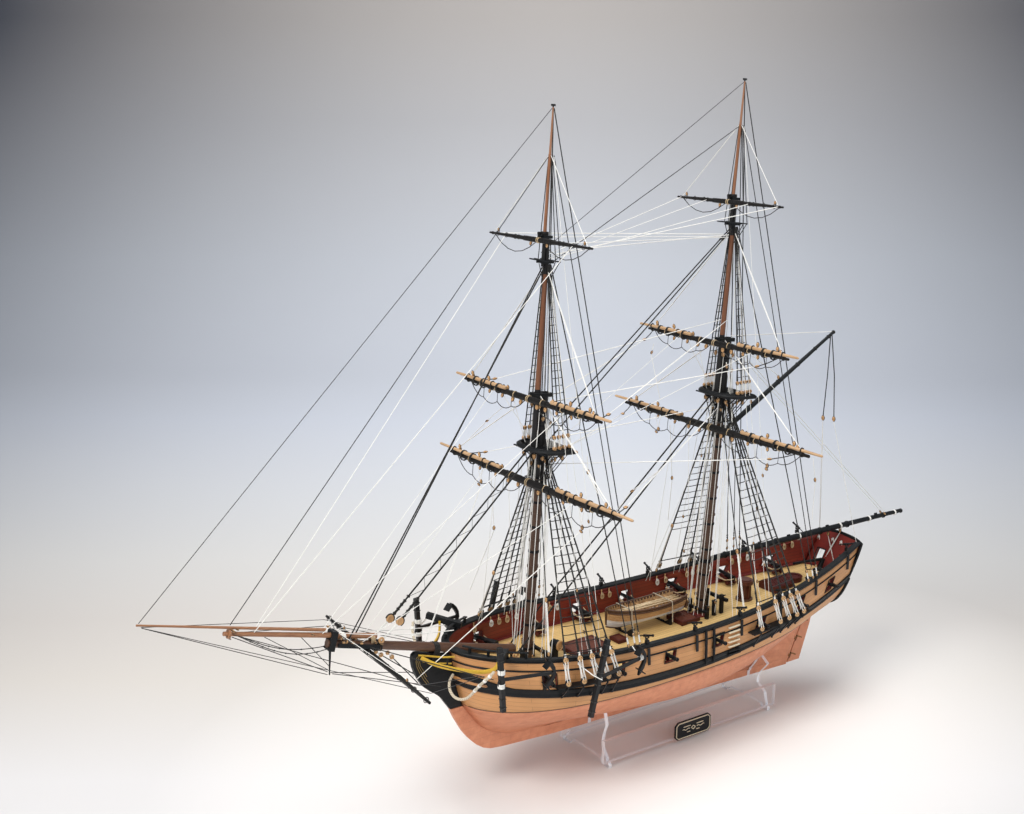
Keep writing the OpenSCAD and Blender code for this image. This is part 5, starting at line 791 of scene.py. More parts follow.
# lower stays and preventer stays, with hearts set up by lanyards
for s in (-1, 1):
    t = M(0, TOP[0] + 4) + V(5, 3.4 * s, 0); hc = V(272.2 - 1.7 * s, 4.0 * s, 157.6); d = unit(t - hc)
    D.line(hc + d * 3.2, t, .66, n=7); D.line(hc + d * 4.6 + V(.9, 0, -.9), hc + d * 19 + V(.3, 0, -.3), .5, n=6); D.line(hc + d * 3.4, hc + d * 16, .9, n=8)
    for q in (4.4, 8.4, 12.4, 16, 20): D.line(hc + d * q, hc + d * (q + 1.3), 1.35, n=8)
    heart(Bk, hc, d, V(0, 1, 0), 3.3); Bk.lathe(hc - V(0, .7, 0), V(0, 1, 0), [(0, 1.2), (.1, 2.5), (1.3, 2.5), (1.4, 1.2)], 14)
    D.tube([hc + (d * math.cos(q) + np.cross(V(0, 1, 0), d) * math.sin(q)) * 3.6 for q in np.linspace(-2.1, 2.1, 15)], .5, 5)
    e = V(287.4 - 1.7 * s, 3.9 * s, 146.6); heart(Bk, e, d, V(0, 1, 0), 2.6)
    for k in range(6): Wt.line(hc - d * 1.6 + V((k - 2.5) * .25, (k % 3 - 1) * .5, 0), e + d * 1.6 + V((k - 2.5) * .25, (k % 3 - 1) * .5, 0), .17, n=4)
    D.tube([bsp(289 - 1.7 * s) + V(0, math.cos(q) * 3.9, math.sin(q) * 3.9) for q in np.linspace(0, 2 * math.pi, 19)], .55, 6, caps=False)
    D.tube([bsp(287 - 1.7 * s) + V(0, math.cos(q) * 3.9, math.sin(q) * 3.9) for q in np.linspace(0, 2 * math.pi, 19)], .55, 6, caps=False)
    t = M(1, TOP[1] + 4) + V(5, 3.4 * s, 0); a = V(171 + 3 * s, 9 * s, z_deck(160) + 14); d = unit(t - a)
    D.line(a + d * 5, t, .66, n=7)
    for q in (8, 11.5, 15): D.line(a + d * q, a + d * (q + 1.4), 1.0, n=8)
    heart(Bk, a + d * 3, d, V(0, 1, 0), 3.0); 
    for k in range(5): Tn.line(a + d * 1.2 + V(0, (k - 2) * .34, 0), a - d * 5 + V(0, (k - 2) * .34, 0), .22, n=4)
    D.line(a - d * 5, V(166, 7 * s, z_deck(164) + 6), .5, n=6)
    # topmast stays
    t = M(0, XT[0] - 3, OT) + V(2.6, 1.2 * s, 0); a = V(309.5 + 4 * s, 2.6 * s, 149.4); D.line(a, t, .5, n=6); block(Bk, a + unit(t - a) * 2, t - a, 3.0, side=V(0, 1, 0))
    t = M(1, XT[1] - 3, OT) + V(2.6, 1.2 * s, 0); a = M(0, TOP[0] - 1) + V(1, 5 * s, 4); D.line(a, t, .5, n=6); D.line(t - unit(t - a) * 9, t - unit(t - a) * 13, .8, n=6)
    # direction from the fore top towards the stay collar
    t0 = M(0, TOP[0] + 4); Dd = unit(V(272, 0, 157) - t0)
# snaking between the two parts of each lower stay
for (a0, a1, t) in ((V(270.5, 4.0, 157.6), V(274, -4.0, 157.6), M(0, TOP[0] + 4) + V(5, 0, 0)),):
    P = [((a0 if k % 2 else a1) * (1 - q) + (t + V(0, 3.4 if k % 2 else -3.4, 0)) * q) for k, q in enumerate(np.linspace(.12, .9, 15))]; D.tube(P, .13, 4)
D.line(jb(113) + V(0, 0, 6.2), M(0, HND[0] - 2, OG) + V(1.4, 0, 0), .22, n=5); D.line(V(458.8, 0, 198.1), M(0, TRK[0] - 3, OG) + V(1, 0, 0), .18, n=5)
D.line(M(0, XT[0] - 4, OT) + V(2.4, 0, 0), M(1, HND[1] - 2, OG) + V(1.4, 0, 0), .22, n=5); D.line(M(0, XT[0] + 4, OT) + V(5.2, 0, 4), M(1, TRK[1] - 3, OG) + V(1, 0, 0), .17, n=5)
# backstays: pairs to the rail, with small deadeyes and lanyards
for s in (-1, 1):
    for m in (0, 1):
        for k, x in enumerate([104, 98, 93] if m == 0 else [-105, -112, -118]):
            b = V(x, s * (hull_y(x, 116) + 2.6), z_rail(x) + 2.6); t = (M(m, XT[m] - 1, OT) + V(-2.6, 2.2 * s, 0), M(m, HND[m] - 1, OG) + V(-2.6, 1.4 * s, 0), M(m, TRK[m] - 3, OG) + V(-.6, .5 * s, 0))[k]; d = unit(t - b); r = (.46, .36, .3)[k]
            D.line(b + d * 12, t, r, n=5); block(Bk, b + d * 10.6, d, 2.6 - .3 * k, side=V(1, 0, 0)); block(Bk, b + d * 2.4, d, 2.4 - .3 * k, side=V(1, 0, 0)); fall(Wt, b + d * 3.4, b + d * 9.6, .2, 3, .55, V(1, 0, 0)); D.line(b - V(0, 0, 2.5), b + d * 1.4, .4, n=5)
            for q in (13.4, 15.6): D.line(b + d * q, b + d * (q + 1.0), r + .3, n=6)
    # bowsprit shrouds, martingale, back ropes, bobstays
    D.line(V(212, 37.5 * s, 110), bsp(298) + V(0, 3.8 * s, 0), .38, n=6); heart(Bk, bsp(294) * .06 + V(212, 37.5 * s, 110) * .94, V(1, 0, 0), V(0, 0, 1), 1.9)
    D.line(V(323.8, 1.2 * s, 129.6), V(243, 15 * s, 104), .22, n=5)
    # jib-boom guys to the spritsail yard and on to the head
    ys = V(294.5 - 26 * math.sin(math.radians(4.4)) * s * -1, 9 + 34 * s, 140.4)
    D.line(jb(112) + V(0, 1.6 * s, 0), V(294.5, 9 + s * 62, 140.2), .2, n=5); D.line(V(294.5, 9 + s * 62, 140.2), V(222, 34 * s, 114), .2, n=5)
    D.line(V(457, .6 * s, 194.8), V(294.5, 9 + s * 76, 140.0), .17, n=5); D.line(V(294.5, 9 + s * 76, 140.0), V(219, 36 * s, 114), .17, n=5)
for k in (0, 1):
    a = V(257.3 - 3.8 * k, 0, 112.2 - 8.4 * k); b = bsp(290 - 10 * k) - V(0, 0, 4.4); d = unit(b - a); D.line(a, b - d * 9, .42, n=6); heart(Bk, b - d * 7.6, d, V(0, 1, 0), 2.0); heart(Bk, b - d * 2.2, d, V(0, 1, 0), 1.8)
    for q in (-.6, 0, .6): Wt.line(b - d * 6.6 + V(0, q, 0), b - d * 3.0 + V(0, q, 0), .22, n=4)
D.line(V(327, 0, 131.6), jb(112) - V(0, 0, 2.2), .22, n=5); D.line(V(327, 0, 129.4), V(457, 0, 194.6), .2, n=5)
D.line(V(326, 0, 136), jb(60) - V(0, 0, 2.0), .2, n=5); D.line(V(326.6, 0, 133), jb(88) - V(0, 0, 2.0), .18, n=5)
# footropes under the jib-boom, with knots
for s in (-1, 1):
    P = [jb(108) * (1 - t) + bsp(320) * t + V(0, 3.2 * s * math.sin(math.pi * t) + 1.6 * s, -8.2 * math.sin(math.pi * t) - 1.0) for t in np.linspace(0, 1, 19)]; D.tube(P, .24, 5)
    for p in P[2:-2:2]: D.line(p - V(.5, 0, 0), p + V(.5, 0, 0), .5, n=6)
    # man-ropes along the bowsprit
    P = [V(226, 6 * s, 141) * (1 - t) + (bsp(320) + V(0, 3.6 * s, 9.4)) * t - V(0, 0, 2.4 * 4 * t * (1 - t)) for t in np.linspace(0, 1, 11)]; Wt.tube(P, .24, 5)
# gammoning and bowsprit dress
for k in range(6):
    x = 236.5 + k * .8; c = bsp(x); b = V(x + 2.4, 0, 116.4 + k * .3)
    D.tube([b + V(0, 2.1, 0), c + V(0, 3.95, -1.0), c + V(0, 3.2, 2.7), c + V(0, 0, 4.0), c + V(0, -3.2, 2.7), c + V(0, -3.95, -1.0), b + V(0, -2.1, 0), b + V(0, 0, -.8), b + V(0, 2.1, 0)], .38, 6, caps=False)
# blocks and fairleads clustered at the bowsprit cap and on the jib-boom
for (t, y, z, sz) in ((2, 3.4, -4, 2.6), (-3, 3.6, -5, 2.4), (6, -3, -5, 2.4), (34, 2.6, 2, 2.6), (34, -2.6, 2, 2.6), (30, 3.0, -1.5, 2.6), (30, -3, -1.5, 2.4), (38.5, 0, 6.2, 2.8), (52, 2.2, 1, 2.2), (111, 1.8, 2.2, 2.4), (111, -1.8, 2.2, 2.4), (114, 0, -3.2, 2.2), (108, 0, 3.4, 2.4)):
    block(Bk, jb(t) + V(0, y, z), JBD + V(0, .2 * y, .4), sz)
for x, y in ((309, 4.8), (309, -4.8), (302, 4.8), (302, -4.8), (316, 4.6), (316, -4.6)): block(Bk, bsp(x) + V(0, y, 2.6), V(.4, .2 * y, 1), 3.0)
for k in range(5): Wt.tube([jb(26 + k * .7) + V(0, math.cos(q) * 2.5, math.sin(q) * 2.5 - .4) for q in np.linspace(0, 2 * math.pi, 11)], .3, 4, caps=False)
for k in range(5): Tn.tube([jb(2 + k * .7) + V(0, math.cos(q) * 2.6, math.sin(q) * 4.2 - 2.6) for q in np.linspace(0, 2 * math.pi, 13)], .34, 4, caps=False)
# spritsail yard dress: slings, braces and lifts
sy = lambda t: V(294.5, 9, 138.4) + rotz(math.radians(-4.4)) @ V(0, t, 0)
for s in (-1, 1):
    a = sy(80 * s); D.line(a, bsp(318) + V(0, 3.4 * s, 8), .2, n=5); block(Bk, sy(52 * s) + V(0, 0, 2.6), V(0, .3 * s, 1), 2.4); Wt.line(sy(52 * s) + V(0, 0, 3.5), bsp(319) + V(0, 3 * s, 9), .18, n=4)
    for t in (20, 40, 62, 80): D.tube([sy(t * s) + V(math.cos(q) * 1.9, 0, math.sin(q) * 1.9) for q in np.linspace(0, 2 * math.pi, 11)], .24, 4, caps=False)
for k in range(4): D.tube([sy(-7.5 + k * .9 - 1) * .5 + (bsp(298)) * .5 + V(0, math.cos(q) * 4.4 - 1.2, math.sin(q) * 4.6) for q in np.linspace(0, 2 * math.pi, 15)], .36, 4, caps=False)

# ------------------------------------------------------------------ running rigging that stays on the ship
# falls from the tops to the deck round each mast
for m in (0, 1):
    zb = z_deck(MX[m]) + 5
    for s in (-1, 1):
        for k in range(7):
            x = (6, 9.5, 3, -7, -10, -4, 12)[k]; y = (7, 5, 10, 8, 5, 11, 3)[k]; zt = (TOP[m] - 4, CAP[m] + 2, TOP[m] - 6, TOP[m] - 4, XT[m] - 8, TOP[m] - 6, TOP[m] + 16)[k]
            t = M(m, zt, 0) + V((3, 6.0, 2, -4, 2.0, -3, 7)[k], s * (5, 3.2, 9, 6, 2.2, 10.5, 4)[k], 0); b = V(MX[m] + x, s * y * 1.15, zb + (k % 3)); Wt.line(b, t, .19 if k % 2 else .24, n=4)
            if k in (0, 2, 3, 5): block(Bk, t + V(0, 0, -1.6), V(0, 0, 1), 2.3)
            block(Bk, b + V(0, 0, 4 + k), V(0, 0, 1), 1.9)
        # tackles from the masthead hanging beside the shrouds
        x = DE_F[0] + 7 if m == 0 else DE_M[0] + 9; t = M(m, TOP[m] - 12) + V(3.5, s * 4.4, 0); b = V(x, s * (hull_y(x, 112) - 2.6), z_rail(x) + 1.5); c = b + (t - b) * .30; D.line(c, t, .3, n=5); block(Bk, c, t - b, 3.4); fall(Wt, b + (t - b) * .03, c - unit(t - b) * 1.6, .2, 3, .6); block(Bk, b + (t - b) * .02, t - b, 2.8)
        # belayed lines from the tops down to the pin rails, a fan outside the mast
        for k, (dx, zt, ot) in enumerate(((-20, TOP[m] - 8, 0), (-14, XT[m] - 5, OT), (16, TOP[m] - 8, 0), (-30, HND[m] - 2, OG), (-26, XT[m] - 5, OT))):
            x = MX[m] + dx; b = V(x, s * (hull_y(x, 112) - 4.4), z_rail(x) - 2.2); t = M(m, zt, ot) + V(-2, 2.4 * s, 0); Wt.line(b, t, .17, n=4)
            if k in (0, 1, 3): q = b + (t - b) * (.13 + .05 * k); block(Bk, q, t - b, 2.2)
# white tackles on the taffrail and the boom sheet horse
for s in (-1, 1):
    for y, x in ((20, -196), (14, -199)):
        b = V(-189, s * y, 112); t = tr_pt(-2.0, s * y, 31); Wt.line(b, t, .18, n=4)
    hank(Wt, tr_pt(.6, s * 21, 27), V(1, 0, 0), L=8, W=1.6, seed=5 + int(s)); hank(Wt, tr_pt(.6, s * 5, 29), V(1, 0, 0), L=9, W=1.6, seed=9 + int(s))
Tn.tube([(-185, -20, z_deck(-185) + 3.4), (-186, -20, z_deck(-185) + 5), (-186, 20, z_deck(-185) + 5), (-185, 20, z_deck(-185) + 3.4)], .6, 7)
# anchor cables and lashings at the bow, shackle ropes on the stocks
Cb = G()
for s in (-1, 1):
    P = [V(228.3, 8.5 * s, 107.4), V(233.4, 11.0 * s, 104.5), V(235.7, 14.5 * s, 100.1), V(235.1, 19.0 * s, 95.3), V(232.2, 24.0 * s, 93.8), V(229.2, 30.0 * s, 96.9), V(228.6, 37.0 * s, 104.6), V(228.5, 44.0 * s, 112.4), V(227.8, 50.0 * s, 118.0), V(225.9, 53.5 * s, 122.3), V(223.9, 55.5 * s, 126.0)]
    Q = []
    for i in range(len(P) - 1):
        for t in np.linspace(0, 1, 6)[:-1]: Q.append(P[i] * (1 - t) + P[i + 1] * t)
    Q = np.array(Q + [P[-1]])
    for _ in range(10): Q[1:-1] = (Q[:-2] + 2 * Q[1:-1] + Q[2:]) / 4
    Cb.tube(Q, 1.05, 9)
    for q in (.62, .70, .8, .9): i = int(q * (len(Q) - 1)); Wt.line(Q[i] - unit(Q[i + 1] - Q[i]) * .9, Q[i] + unit(Q[i + 1] - Q[i]) * .9, 1.4, n=8)
    c = V(218.5, 57 * s, 119); D.tube([c + V(math.cos(q) * 2.9, 0, math.sin(q) * 2.9 - 2.4) for q in np.linspace(0, 2 * math.pi, 15)], .55, 6, caps=False)
    for k in range(5): Wt.tube([c + V(math.cos(q) * 2.5 + 0, math.sin(q) * 2.5, -6.0 + k * .7) for q in np.linspace(0, 2 * math.pi, 11)], .36, 4, caps=False)
    for k in range(5): Wt.tube([c + V(math.cos(q) * 2.5, math.sin(q) * 2.5, 4.5 + k * .7) for q in np.linspace(0, 2 * math.pi, 11)], .36, 4, caps=False)
    # cathead stopper and tackle
    Wt.line(V(214, 50.5 * s, 130), c + V(0, 0, 1), .4, n=5); Wt.line(V(213, 49.8 * s, 130), c + V(-.8, 0, .6), .4, n=5)
    c2 = V(141, 72 * s, 106); Wt.tube([V(148, hull_y(148, 112) * s, 113), V(145, 70 * s, 108.5), V(141, 75.5 * s, 106), V(138, 71 * s, 108), V(134, hull_y(134, 113) * s, 114)], .42, 5)
    for k in range(4): Wt.tube([V(100 + k * .8, 72 * s, 112.6) + V(0, math.cos(q) * 2.0, math.sin(q) * 2.0) for q in np.linspace(0, 2 * math.pi, 11)], .36, 4, caps=False)
    Wt.line(V(102, 72 * s, 112.6), V(100, (hull_y(100, 115) + 1.2) * s, 117.4), .4, n=5)
    # wooden stocks: bands
    for cc, a_, hl in ((V(218.5, 57 * s, 119), math.radians(4), 25), (V(141, 72 * s, 106), math.radians(-14), 30)):
        R_ = roty(a_)
        for q in (-.86, -.6, -.16, .16, .6, .86): 
            o = cc + R_ @ V(0, 0, hl * q); D.tube([o + R_ @ V(x, y, 0) for x, y in ((1.85, 1.85), (-1.85, 1.85), (-1.85, -1.85), (1.85, -1.85), (1.85, 1.85))], .34, 4, caps=False)
for p, q, e in [
    (V(133.0, -88.7, 267.2), V(133.0, -118.1, 243.9), V(133.0, -66.2, 283.3)),
    (V(136.0, -73.5, 181.1), V(136.0, -78.1, 222.3), V(136.0, -108.8, 116.1)),
    (V(136.0, 47.2, 257.7), V(136.0, 45.6, 269.4), V(136.0, 68.7, 238.2)),
    (V(131.0, 26.1, 267.2), V(131.0, 16.2, 271.9), V(131.0, 53.2, 241.6)),
    (V(120.0, 78.2, 248.4), V(120.0, 107.4, 271.2), V(120.0, 61.0, 228.0)),
    (V(-60.0, -77.6, 190.5), V(-60.0, -82.8, 238.4), V(-60.0, -80.8, 150.1)),
    (V(-62.0, 26.3, 189.6), V(-62.0, 19.9, 247.0), V(-62.0, 23.7, 142.9)),
    (V(-66.0, 83.8, 227.6), V(-66.0, 80.3, 245.0), V(-66.0, 83.3, 194.0)),
    (V(-62.0, -113.0, 299.0), V(-62.0, -110.5, 307.0), V(-62.0, -100.0, 259.3))]:
    d = unit(q - p); block(Bk, p, d, 2.7, side=V(1, 0, 0)); Wt.line(p + d * 2, q, .2, n=5); Wt.line(p - d * 2, e, .2, n=5)
D.make("stays_and_backstays", M_ROPED, slot="rope"); Wt.make("running_falls", M_ROPEL, slot="rope"); Tn.make("lashings_tan", M_ROPET, slot="rope"); Bk.make("rigging_blocks", BM, slot="boxwood"); Cb.make("anchor_cables", M_ROPEC, slot="rope")

# ------------------------------------------------------------------ lines that run from a moving spar to the ship: one object each
CR = [0]
def cross(a, b, r=.2, mat=None, sag=0.0, blk_at=None, parts=1, name=None, size=2.6):
    """a is on the moving spar, b is on the ship; the line is a separate object with its transform baked, tied to no
    body
    """
    CR[0] += 1; nm = (name or "line") + "_%02d" % CR[0]; a = np.array(a, float); b = np.array(b, float); g = G(); g.cur = 0; K = 14
    side = unit(np.cross(b - a, V(0, 0, 1)) + V(1e-6, 0, 0))
    for k in range(parts):
        o = side * (k - (parts - 1) / 2) * .8; g.tube([a + (b - a) * t - V(0, 0, 1) * sag * 4 * t * (1 - t) + o * math.sin(math.pi * min(1, t * 1.0)) for t in np.linspace(0, 1, K)], r, 4)
    ob = g.make(nm, mat or M_ROPEL, body=None, slot="rope")
    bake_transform(ob); return nm
pend = {}
for m, nm in ((0, "fore"), (1, "main")):
    for s in (-1, 1):
        # lifts
        P, L, r = YP[nm + "_course"]; cross(P(-.4, s * L * .45, r + 2.6), M(m, CAP[m] + 1.5, OT) + V(0, 3.4 * s, 0), .22, name="course_lift", parts=2)
        P, L, r = YP[nm + "_topsail"]; cross(P(-.4, s * L * .45, r + 2.4), M(m, XT[m] - 5, OT) + V(0, 2.2 * s, 0), .19, name="topsail_lift", parts=2)
        P, L, r = YP[nm + "_topgallant"]; cross(P(-.2, s * L * .45, r), M(m, HND[m] - 1, OG) + V(0, 1.4 * s, 0), .22, name="topgallant_lift")
# brace pendants ride on the yard; the falls cross to the other mast
for m, nm in ((0, "fore"), (1, "main")):
    for s in (-1, 1):
        for yd, q, tgt in (("course", .455, None), ("topsail", .45, None)):
            P, L, r = YP[nm + "_" + yd]; a = P(-1.2 if m == 0 else 1.4, s * L * q, .3)
            if m == 0: b = M(1, (TOP[1] - 10, TOP[1] + 62)[yd == "topsail"]) + V(5.5, 2.6 * s, 0)
            else: b = M(0, (TOP[0] - 12, CAP[0] - 4)[yd == "topsail"]) + V(-4.6, 3.2 * s, 0)
            d = unit(b - a); pl = 21 if yd == "course" else 17; c = a + d * pl - V(0, 0, 3.5)
            g = G(); g.tube([a, (a + c) / 2 - V(0, 0, .5), c], .3, 5); g.make(nm + "_" + yd + "_brace_pendant_%d" % (s > 0), M_ROPED, body=nm + "_" + yd, slot="rope")
            g = G(); block(g, c + d * 1.4, d, 3.3); g.make(nm + "_" + yd + "_brace_block_%d" % (s > 0), BM, body=nm + "_" + yd, slot="boxwood")
            cross(c + d * 2.6, b, .19, name="brace", parts=2)
        P, L, r = YP[nm + "_topgallant"]; a = P(-.8 if m == 0 else .8, s * L * .46, 0)
        if m == 0: cross(a, M(1, XT[1] - 7, OT) + V(7, 3.0 * s, 0), .24, name="topgallant_brace"); cross(P(-.8, s * L * .2, 0), M(1, XT[1] - 9, OT) + V(6, 2.0 * s, 0), .2, name="topgallant_line")
        else: cross(a, M(0, XT[0] + 6, OT) + V(-3.4, 2.4 * s, 0), .24, name="topgallant_brace"); cross(P(.8, s * L * .2, 0), M(0, XT[0] + 3, OT) + V(-3.0, 1.6 * s, 0), .2, name="topgallant_line")
        # bowlines forward and down
        if m == 0:
            P, L, r = YP["fore_topgallant"]; cross(P(.8, s * L * .33, 0), jb(96) + V(0, .9 * s, 1.6), .22, name="bowline")
            P, L, r = YP["fore_topsail"]; cross(P(.8, s * L * .26, -1), jb(44) + V(0, 1.4 * s, 1.6), .19, name="bowline")
            P, L, r = YP["fore_course"]; cross(P(.8, s * L * .26, -2), bsp(300) + V(0, 2.4 * s, 2.8), .19, name="bowline")
        else:
            P, L, r = YP["main_topsail"]; cross(P(.8, s * L * .26, -1), M(0, TOP[0] - 6) + V(-6, 4 * s, 0), .18, name="bowline")
        # clewlines and buntlines down to the rail and the bitts
        P, L, r = YP[nm + "_course"]; x = MX[m] + 12; b = V(x, s * (hull_y(x, 112) - 4.6), z_rail(x) - 2.6); cross(P(-.4, s * L * .12, -4.2), V(MX[m] + 7, 9 * s, z_deck(MX[m]) + 9), .18, name="clewline")
        cross(P(-.4, s * L * .2, -3.6), b, .18, name="leechline")
        P, L, r = YP[nm + "_topsail"]; cross(P(-.4, s * L * .12, -3.2), M(m, TOP[m] + 1) + V(4, 14 * s, 0), .17, name="clewline"); cross(P(-.4, s * L * .2, -3.0), M(m, TOP[m] + 1) + V(-5, 18 * s, 0), .17, name="reef_tackle")
        # clew blocks left hanging on their tackles under the lower yard
        P, L, r = YP[nm + "_course"]; g = G(); c = P(-2, s * L * .30, -15.5 - 2 * (s > 0)); block(g, c, V(0, .2 * s, 1), 3.2); block(g, c + V(1.6, .8 * s, -2.4), V(.6, .2, 1), 2.6); g.make(nm + "_clew_blocks_%d" % (s > 0), BM, body=nm + "_course", slot="boxwood")
        g = G(); g.line(P(-.6, s * L * .285, -r), c + V(0, 0, 1.6), .17, n=4); g.line(P(.4, s * L * .315, -r), c + V(.4, 0, 1.6), .17, n=4); g.make(nm + "_clew_line_%d" % (s > 0), M_ROPEL, body=nm + "_course", slot="rope")
for s in (-1, 1):
    P, L, r = YP["fore_course"]; c = P(-2, s * L * .30, -19.5); cross(c, V(256.5, 2.4 * s, 108.0), .2, name="fore_tack", parts=2)
# gaff: throat and peak halyards, vangs; boom: topping lift, sheet
ga = M(1, 249); gt = V(-172.4, 0, 324.2); gd = unit(gt - ga)
g = G(); 
for t, r in ((12, 2.15), (40, 2.5), (78, 2.1), (104, 1.9), (128, 1.7), (146, 1.5)):
    p = ga + gd * t; n1 = unit(np.cross(gd, V(0, 1, 0))); g.tube([p + V(0, math.cos(q) * r, 0) + n1 * math.sin(q) * r for q in np.linspace(0, 2 * math.pi, 13)], .26, 4, caps=False)
vb = G(); 
for s in (-1, 1):
    c = gt + V(2 - 5 * (s > 0), 4 * s, -78); g.tube([gt - gd * 3 + V(0, .8 * s, -1), gt * .5 + c * .5 + V(0, .8 * s, 0), c + V(0, 0, 2)], .34, 5); block(vb, c, V(0, 0, 1), 3.8)
g.lathe(gt - gd * 1.2, gd, [(0, 1.3), (.4, 1.75), (1.6, 1.75), (2.4, .8)], 10)
g.make("gaff_bands_and_vang_pendants", M_ROPED, body="gaff", slot="rope")
for t in (44, 80): block(vb, ga + gd * t + unit(np.cross(gd, V(0, 1, 0))) * -3.6, V(0, 0, 1), 2.8)
vb.make("gaff_blocks", BM, body="gaff", slot="boxwood")
for s in (-1, 1):
    c = gt + V(2 - 5 * (s > 0), 4 * s, -80.2); cross(c, V(-196, 22 * s, 131), .22, name="vang_fall", parts=2)
n1 = unit(np.cross(gd, V(0, 1, 0)))
cross(gt - gd * 3 + V(0, 0, 2), M(1, CAP[1] + 4) + V(-3.4, 0, 0), .24, name="peak_halyard"); cross(ga + gd * 80 + V(0, 0, 3.4), M(1, CAP[1] + 1) + V(-3.2, .8, 0), .22, name="peak_halyard"); cross(ga + gd * 44 + V(0, 0, 3.6), M(1, CAP[1] - 6) + V(-3.6, -.8, 0), .22, name="peak_halyard")
cross(ga + gd * 8 + V(0, 0, 2.4), M(1, TOP[1] - 5) + V(-5.6, 0, 0), .26, name="throat_halyard", parts=2)
bm = lambda x: V(x, 0, 142.5 - (x + 36) * -0.0061 + .0)
g = G(); w = G(); bb = G(); ba = M(1, 142.5); be = V(-282.6, 0, 141.0); bd = unit(be - ba)
for t, r, wh in ((22, 2.5, 0), (50, 2.7, 1), (84, 2.9, 0), (112, 3.0, 1), (140, 2.9, 0), (166, 2.8, 1), (176, 2.7, 0), (206, 2.4, 1), (226, 2.2, 0), (242, 2.1, 1)):
    for k in range(3): (w if wh else g).tube([ba + bd * (t + k * .6) + V(0, math.cos(q) * r, math.sin(q) * r) for q in np.linspace(0, 2 * math.pi, 15)], .28, 4, caps=False)
for t in (64, 100, 150, 216): g.box(ba + bd * t + V(0, 0, 3.2), (3.6, 1.4, 1.6), None, .3); g.box(ba + bd * t + V(0, 2.6, 0), (3.0, 1.4, 1.2), None, .3)
g.lathe(be - bd * 1.4, bd, [(0, 1.5), (.4, 2.1), (2.0, 2.1), (2.6, 1.0)], 12)
g.make("boom_bands", M_INK, body="boom", slot="black_wood"); w.make("boom_lashings", M_ROPEL, body="boom", slot="rope")
for t in (152, 168): block(bb, ba + bd * t + V(0, 0, -4.6), V(0, 0, 1), 3.2)
for s in (-1, 1): block(bb, ba + bd * 226 + V(0, 2.6 * s, 2.4), V(.5, 0, 1), 2.6)
bb.make("boom_blocks", BM, body="boom", slot="boxwood")
for s in (-1, 1):
    cross(ba + bd * 226 + V(0, 2.6 * s, 3.6), M(1, CAP[1] - 2) + V(-4, 3.2 * s, 0), .2, M_ROPEL, name="topping_lift")
    cross(ba + bd * (152 if s > 0 else 168) + V(0, 0, -6.4), V(-186, 7 * s, z_deck(-185) + 5.4), .22, name="boom_sheet", parts=3)

# ------------------------------------------------------------------ nameplate dressing without lettering
g = G(); pl = lambda x, z: V(4.5 + x, 28 + 1.65 + 1.28, 11 + z)
o = [(-18.6, -4.6), (-18.6, 4.6), (-16.2, 6.8), (16.2, 6.8), (18.6, 4.6), (18.6, -4.6), (16.2, -6.8), (-16.2, -6.8), (-18.6, -4.6)]
g.tube([pl(x, z) for x, z in o], .34, 5, caps=False)
for z, w in ((2.6, 11), (-2.6, 7)):
    for s in (-1, 1): g.tube([pl(s * 3.4, z), pl(s * w, z)], .3, 5)
for a, b in (((-2.2, 0), (0, 1.7)), ((0, 1.7), (2.2, 0)), ((2.2, 0), (0, -1.7)), ((0, -1.7), (-2.2, 0))): g.tube([pl(*a), pl(*b)], .3, 5)
for s in (-1, 1): g.tube([pl(s * 4 + s * 8 * t, .5 * math.sin(t * 9)) for t in np.linspace(0, 1, 17)], .26, 5)
g.make("nameplate_border", M_CREAMLINE, body="stand", slot="brass")
